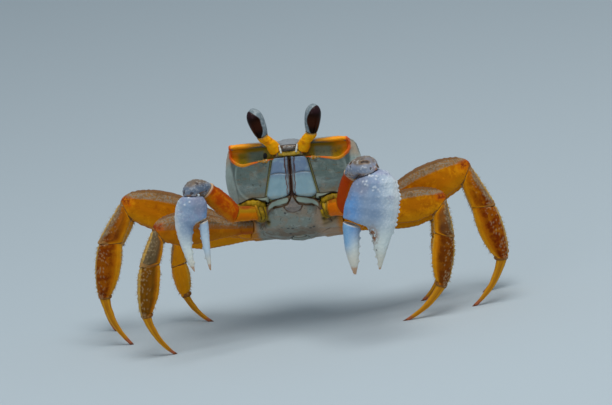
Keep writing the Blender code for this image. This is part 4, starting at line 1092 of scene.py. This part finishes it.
for name, side in SIDES.items():
    marks = [Vector(mark) + STANCE for mark in ARMS[name]]
    hand_home = (Matrix.Translation(marks[3]) @ (
        Matrix.Rotation(math.radians(HAND_TILT[name]), 4, "Y")
        @ Matrix.Rotation(math.radians(HAND_LEAN[name]), 4, "X"))).inverted()
    large = name == "left"
    wrist = copy_node(f"claw_{name}_carpus")
    round_out(wrist, 4)
    world = points_of(wrist) / MM
    height = (world[:, 2] - world[:, 2].min()) / np.ptp(world[:, 2])
    emboss(wrist, 0.06 * ripple(world, 2.6, 40))
    grain = granulate(wrist, 120, 0.34, 0.18, step_up(height, 0.35, 0.6), 41)
    blots = np.zeros(len(world))
    for mark, spread in (((25.1, -24.7, 61.4), 0.75), ((29.2, -27.7, 61.9), 0.9), ((30.4, -27.7, 61.9), 0.8),
                         ((33.6, -26.3, 59.9), 0.7)):
        blots = np.maximum(blots, hill(np.linalg.norm((world - mark) * (0.8, 1, 1.2), axis=1), spread))
    note(wrist, height=height, grain=grain, outer=(world[:, 0] - world[:, 0].mean()) * side / 6, large=large,
         blots=blots)
    wear(wrist, wrist_paint, "claw", f"claw_{name}_carpus")

    for kind in ("palm", "finger"):
        claw = copy_node(f"claw_{name}_{kind}")
        remesh(claw, 0.24, relax=7)
        local = in_frame(points_of(claw), hand_home)
        x, z = local[:, 0] * side, local[:, 2]
        is_palm = kind == "palm"
        knuckle, reach = (-17, 32.5) if large else (-9.5, 25.6)
        relief = 0.1 * ripple(local, 4.5, 50) * step_up(z, knuckle - 5, knuckle + 1)
        relief += 0.03 * ripple(local, 1.2, 51)
        groove = hill(x - (2 if large else 3.2), 0.45) * step_up(-z, 2 - knuckle, 6 - knuckle)
        relief -= 0.25 * groove * is_palm
        emboss(claw, relief)
        zone = step_up(z, knuckle * 0.85, -2.5) ** 2 * step_up(np.abs(x - 1), 7, 2) * is_palm
        coarse = granulate(claw, 64 if large else 20, 0.4, 0.26, zone, 52)
        grain = granulate(claw, 1500 if large else 700, 0.27, 0.1, 0.25 + 0.75 * step_up(x, 1, 7), 53)
        margin = step_up(x, 6.9 if large else 4.6, 8.6 if large else 6.2)
        hinge = z + 16.85 + 0.33 * (x + 6.35) if large else z + 8.9 + 0.27 * (x + 3)
        hinge = np.abs(hinge) + 4 * step_up(x, -1.6 if large else -0.4, -0.6 if large else 0.4)
        notch = hill(x - (0.6 if large else 1.8), 1.8) * hill(z - knuckle + 3.8, 2.7) * is_palm
        note(claw, hinge=hinge, notch=notch * 1.4 * large,
             moving=(kind == "finger") * (1 if large else -1), x=x, z=z / reach, grain=grain,
             coarse=coarse, margin=margin, large=large)
        wear(claw, hand_paint, "claw", f"claw_{name}_{kind}")


# ---- Walking legs ----
# Four legs on each side. Merus, carpus, propodus and dactyl are flat glossy amber sleeves with a grey
# mottled back, rough with granules and ridges lower down, and each ends in a grooved pointed claw.
COXA = {1: (15.5, -4.5, -10.8), 2: (16.2, 1.7, -11.3), 3: (15.8, 7.9, -11.3), 4: (12.8, 13.2, -10.8)}
LENGTHS = {1: (33, 10.8, 17.3, 17.1), 2: (43.4, 13.4, 19.2, 18.9), 3: (45.6, 14, 16.6, 15),
           4: (34.9, 9, 10.8, 12.8)}
# Swing to the rear, then the slope of merus, carpus and propodus; then how dark and how olive the leg is.
POSE = {
    ("right", 1): (-23, 6, -64.5, -80), ("right", 2): (0, 16, -56.5, -78.5),
    ("right", 3): (15, 11, -50, -76), ("right", 4): (23, -4.5, -81, -98),
    ("left", 1): (9, 1, -87, -101), ("left", 2): (11, 15.4, -67, -79),
    ("left", 3): (25, 11, -68, -73), ("left", 4): (24, -2.5, -87, -94),
}
TONE = {
    ("right", 1): (0.85, 1), ("right", 2): (0.95, 0.1), ("right", 3): (0.3, 0.3), ("right", 4): (-0.5, 0),
    ("left", 1): (1.1, 0.35), ("left", 2): (1, 0), ("left", 3): (0.4, 0.3), ("left", 4): (0.2, 0.2),
}
f = Finish("joint_skin_tan", roughness=0.5, specular=0.15)
f.paint(240, 85, 12).paint(320, 160, 40, f.noise(0.8).ramp(0.5, 0.65))
f.carve(f.noise(0.4), 0.05, 0.5)
joint_paint = f.done()
f = Finish("fringe_straw", roughness=0.6, specular=0.15)
f.paint(550, 420, 240).paint(360, 200, 80, f.noise(1.5, 2).ramp(0.5, 0.6))
f.carve(f.noise(0.2, 2), 0.02, 0.3)
fringe_paint = f.done()


def joint_skin(sleeve, place, normal, name):
    """A plug of soft skin closes the joint between one segment and the next."""
    near = (points_of(sleeve) / MM - np.array(place)) @ np.array(normal)
    rim = (points_of(sleeve) / MM)[(near > -1) & (near < -0.12)] - np.array(place)
    middle = (rim.max(axis=0) + rim.min(axis=0)) / 2
    rim -= middle + np.outer((rim - middle) @ np.array(normal), np.array(normal))
    across = Vector(np.linalg.svd(rim, full_matrices=False)[2][0])
    other = normal.cross(across).normalized()
    half, rise_mm = (np.abs(rim @ np.array(line)).max() * 0.86 for line in (across, other))
    centre = place + Vector(middle) - normal * Vector(middle).dot(normal)
    rings = []
    for out, size in ((-0.9, 0.6), (-0.6, 0.86), (-0.2, 0.98), (0.2, 0.98), (0.6, 0.86), (0.9, 0.6)):
        rings.append(oval(centre + normal * out, normal, across, rise_mm * size, rise_mm * size, half * size,
                          2.3))
    wear(skin_sections(name, rings, Matrix()), joint_paint, "leg")


def fringe(sleeve, along, ridge, flank, axis, name, seed):
    """A sparse row of short stiff bristles along the two edges of a segment."""
    world = points_of(sleeve) / MM
    outward = normals_of(sleeve)
    dice = np.random.default_rng(seed)
    edge = np.nonzero((np.abs(ridge) > 0.93) & (along > 0.08) & (along < 0.92))[0]
    roots = dice.choice(edge, size=min(90, len(edge)), replace=False)
    bm = bmesh.new()
    shares = []
    for root in roots:
        grow = Vector(outward[root]) * 0.85 + axis * 0.45 + Vector(dice.normal(0, 0.16, 3))
        grow.normalize()
        length = dice.uniform(0.6, 1.35)
        side_way = grow.orthogonal().normalized()
        base = Vector(world[root]) - grow * 0.15
        ring = []
        for k in range(3):
            turn = Matrix.Rotation(2 * math.pi * k / 3, 3, grow)
            ring.append(bm.verts.new((base + turn @ side_way * 0.07) * MM))
        tip = bm.verts.new((base + grow * length + axis * 0.12 * length) * MM)
        for k in range(3):
            bm.faces.new((ring[k], ring[(k + 1) % 3], tip))
        bm.faces.new(ring[::-1])
        shares += [(along[root], math.atan2(flank[root], ridge[root]) / (2 * math.pi) + 0.5)] * 4
    bmesh.ops.recalc_face_normals(bm, faces=bm.faces)
    bm.faces.index_update()
    patch = bm.loops.layers.uv.new("OFBake")
    mesh = bpy.data.meshes.new(name)
    for face in bm.faces:
        u, v = shares[face.index]
        for k, loop in enumerate(face.loops):
            loop[patch].uv = (u * 0.99 + 0.003 * (k == 1), v * 0.99 + 0.003 * (k == 2))
    bm.to_mesh(mesh)
    bm.free()
    wear(add_object(name, mesh), fringe_paint, "leg")


f = Finish("leg_amber", roughness=0.42, specular=0.11, soft=0.03, glint=(1, 0.6, 0.25))
patch = f.noise(4, 4, 0.62, 0.5)
fine = f.noise(0.9, 4, 0.68, 0.3)
ridge, along, step = f.ridge, f.along, f.step
merus, carpus = step.ramp(0.6, 0.4), step.band(0.4, 0.6, 1.4, 1.6)
propodus, dactyl = step.band(1.4, 1.6, 2.4, 2.6), step.ramp(2.4, 2.6)
lower = carpus + propodus
f.paint(560, 165, 2)
f.paint(720, 270, 3, merus * ridge.ramp(-0.1, -0.75, 0, 0.7))
f.paint(800, 300, 4, patch.ramp(0.5, 0.66, 0, 0.8))
f.paint(400, 90, 3, f.noise(2.2, 4, 0.65, 0.2, None, (0.05, 0, 0)).ramp(0.54, 0.7, 0, 0.6))
carpus_fade = carpus * along.ramp(0, 0.9, 0.35)
deep = (carpus_fade + propodus) * f.dark * (patch * 0.5 + ridge).ramp(-0.5, 0.05)
f.paint(800, 320, 6, f.dark.ramp(-0.1, -0.4) * 0.6)
f.paint(180, 22, 1, deep * f.noise(2.6, 4, 0.65, 0.3, None, (0, 0.07, 0)).ramp(0.4, 0.62, 1, 0.62))
f.paint(145, 62, 4, deep * f.olive * 0.9)
back = merus * (ridge + f.olive.ramp(0.4, 1, 0, 0.55)).ramp(0.5, 0.62)
back += carpus * (along * -0.35 + ridge).ramp(0.18, 0.48, 0, 0.9)
grey = f.noise(0.55, 4, 0.6).ramp(0.4, 0.62, 0, 0.75)
f.paint(230, 130, 50, back * 0.85)
f.paint(270, 245, 200, back * grey)
f.paint(130, 95, 50, carpus * f.olive * ridge.ramp(-0.6, -0.1, 0, 0.85))
f.paint(150, 80, 30, back * f.noise(2.4, 3, 0.6, 0, (1, 1, 1), (0.01, 0, 0)).ramp(0.52, 0.68, 0, 0.7))
f.paint(170, 70, 20, merus * ridge.ramp(0.88, 0.97, 0, 0.85))
f.paint(260, 80, 10, merus * ridge.ramp(-0.88, -0.97, 0, 0.7))
f.paint(360, 100, 4, merus * f.olive.ramp(0.5, 1) * ridge.ramp(0.5, 0.2, 0, 0.6))
stain = along.ramp(0.93, 0.985) * ridge.band(-0.25, 0.05, 0.5, 0.8)
f.paint(540, 85, 2, merus * stain * fine.ramp(0.38, 0.62, 0.15, 0.75))
knee = merus * along.ramp(0.968, 0.992) * ridge.band(0, 0.2, 0.5, 0.75)
f.paint(240, 35, 8, knee * fine.ramp(0.4, 0.58, 0.3, 0.95))
base = merus * along.ramp(0.24, 0.12) * ridge.ramp(-0.1, -0.7)
f.paint(340, 60, 6, base * f.olive * 0.8)
f.paint(740, 280, 6, lower * ridge.ramp(-0.5, -0.78) * patch.ramp(0.3, 0.6, 0.5, 0.95))
f.paint(800, 420, 40, lower * ridge.ramp(-0.86, -0.97, 0, 0.7))
f.paint(660, 380, 70, lower * ridge.ramp(0.84, 0.95, 0, 0.8))
f.paint(460, 350, 200, lower * f.grain * (f.dark * 0.5 + 0.1))
f.paint(380, 190, 60, carpus * along.ramp(0.95, 0.985, 0, 0.65))
f.paint(580, 260, 12, dactyl * 0.9)
f.paint(360, 120, 10, dactyl * ridge.band(-0.45, -0.3, 0.3, 0.45) * 0.6)
f.paint(380, 100, 60, dactyl * along.ramp(0.8, 0.9, 0, 0.85))
f.paint(120, 50, 30, dactyl * along.ramp(0.94, 0.985, 0, 0.9))
f.carve(fine, 0.1, 0.5)
f.carve(f.cells(0.9), 0.06, 0.35)
f.rough(fine, 0.32, 0.5)
leg_paint = f.done()
for (name, pair), (swing, *slopes) in POSE.items():
    side = SIDES[name]
    x, y, z = COXA[pair]
    root = body_frame @ Vector((x * side, y, z))
    turn = math.radians(swing if side > 0 else 180 - swing)
    leg_frame = Matrix.Translation(root) @ Matrix.Rotation(turn, 4, "Z")
    joints = [Vector()]
    for length, slope in zip(LENGTHS[pair], slopes):
        slope = math.radians(slope)
        joints.append(joints[-1] + Vector((math.cos(slope), 0, math.sin(slope))) * length)
    drop = joints[-1].z + root.z
    inward = math.sqrt(max(LENGTHS[pair][3] ** 2 - drop ** 2, 4))
    joints.append(Vector((joints[-1].x - inward, 0, -root.z)))
    joints = [leg_frame @ joint for joint in joints]
    front = leg_frame.to_3x3() @ Vector((0, -side, 0))
    dark, olive = TONE[name, pair]
    for i, kind in enumerate(("merus", "carpus", "propodus", "dactyl")):
        sleeve = copy_node(f"leg_{name}_{pair}_{kind}")
        round_out(sleeve, 4 if kind == "dactyl" else 3)
        axis = (joints[i + 1] - joints[i]).normalized()
        lift = front.cross(axis) * side
        along, ridge, flank = limb_measure(sleeve, joints[i], joints[i + 1], lift)
        relief = 0.05 * ripple(points_of(sleeve) / MM, 3, 60 + i)
        if kind == "merus":
            relief += 0.3 * hill(ridge - 0.97, 0.05) * (0.65 + 0.35 * np.sin(along * 150))
            relief += 0.16 * hill(ridge - 0.55, 0.06) * step_up(along, 0.15, 0.3)
            relief += 0.22 * hill(ridge + 0.95, 0.06) * (0.7 + 0.3 * np.sin(along * 120))
            relief -= 0.3 * hill(along - 0.135 - 0.02 * ridge, 0.012)
            relief += 0.35 * hill(along - 0.955, 0.03) * hill(ridge + 0.1, 0.4) * np.abs(flank)
        elif kind == "carpus":
            relief += 0.26 * hill(ridge - 0.55, 0.1) + 0.22 * hill(ridge + 0.05, 0.1)
            relief += 0.25 * hill(ridge - 0.96, 0.06) * (0.6 + 0.4 * np.sin(along * 45))
        elif kind == "propodus":
            for crest in (-0.55, -0.05, 0.45):
                relief += 0.2 * hill(ridge - crest, 0.09)
            relief += 0.22 * hill(np.abs(ridge) - 0.97, 0.05) * (0.6 + 0.4 * np.sin(along * 70))
            relief -= 0.25 * hill(along - 0.94, 0.02)
        else:
            blade = step_up(along, 0.03, 0.12) * step_up(along, 0.97, 0.8)
            for crest in (-0.6, 0, 0.6):
                relief += 0.13 * hill(ridge - crest, 0.12) * blade
            relief -= 0.12 * step_up(along, 0.97, 1)
        relief *= step_up(along, 0, 0.03) * step_up(along, 1, 0.97) * 0.85 + 0.15
        emboss(sleeve, relief)
        rough = step_up(ridge, -0.2, 0.3) if i in (1, 2) else 0.4 * step_up(ridge, 0.5, 0.8)
        grain = granulate(sleeve, (260, 150, 240, 10)[i], 0.26, 0.14, rough, 61 + i)
        worn = points_of(sleeve)
        worn[:, 2] = np.maximum(worn[:, 2], 0)
        place_points(sleeve, worn)
        note(sleeve, along=along, ridge=ridge, grain=grain, step=i, dark=dark, olive=olive)
        wear(sleeve, leg_paint, "leg_tip" if kind == "dactyl" else "leg", f"leg_{name}_{pair}_{kind}")
        if kind != "dactyl":
            fold_line = (axis + (joints[i + 2] - joints[i + 1]).normalized()).normalized()
            if kind == "carpus":
                fold_line = Matrix.Rotation(math.radians(-20 * side), 3, front) @ fold_line
            joint_skin(sleeve, joints[i + 1], fold_line, f"leg_{name}_{pair}_joint_{i}")
        if kind in ("carpus", "propodus"):
            fringe(sleeve, along, ridge, flank, axis, f"leg_{name}_{pair}_fringe_{i}",
                   400 + 20 * pair + i + 7 * side)
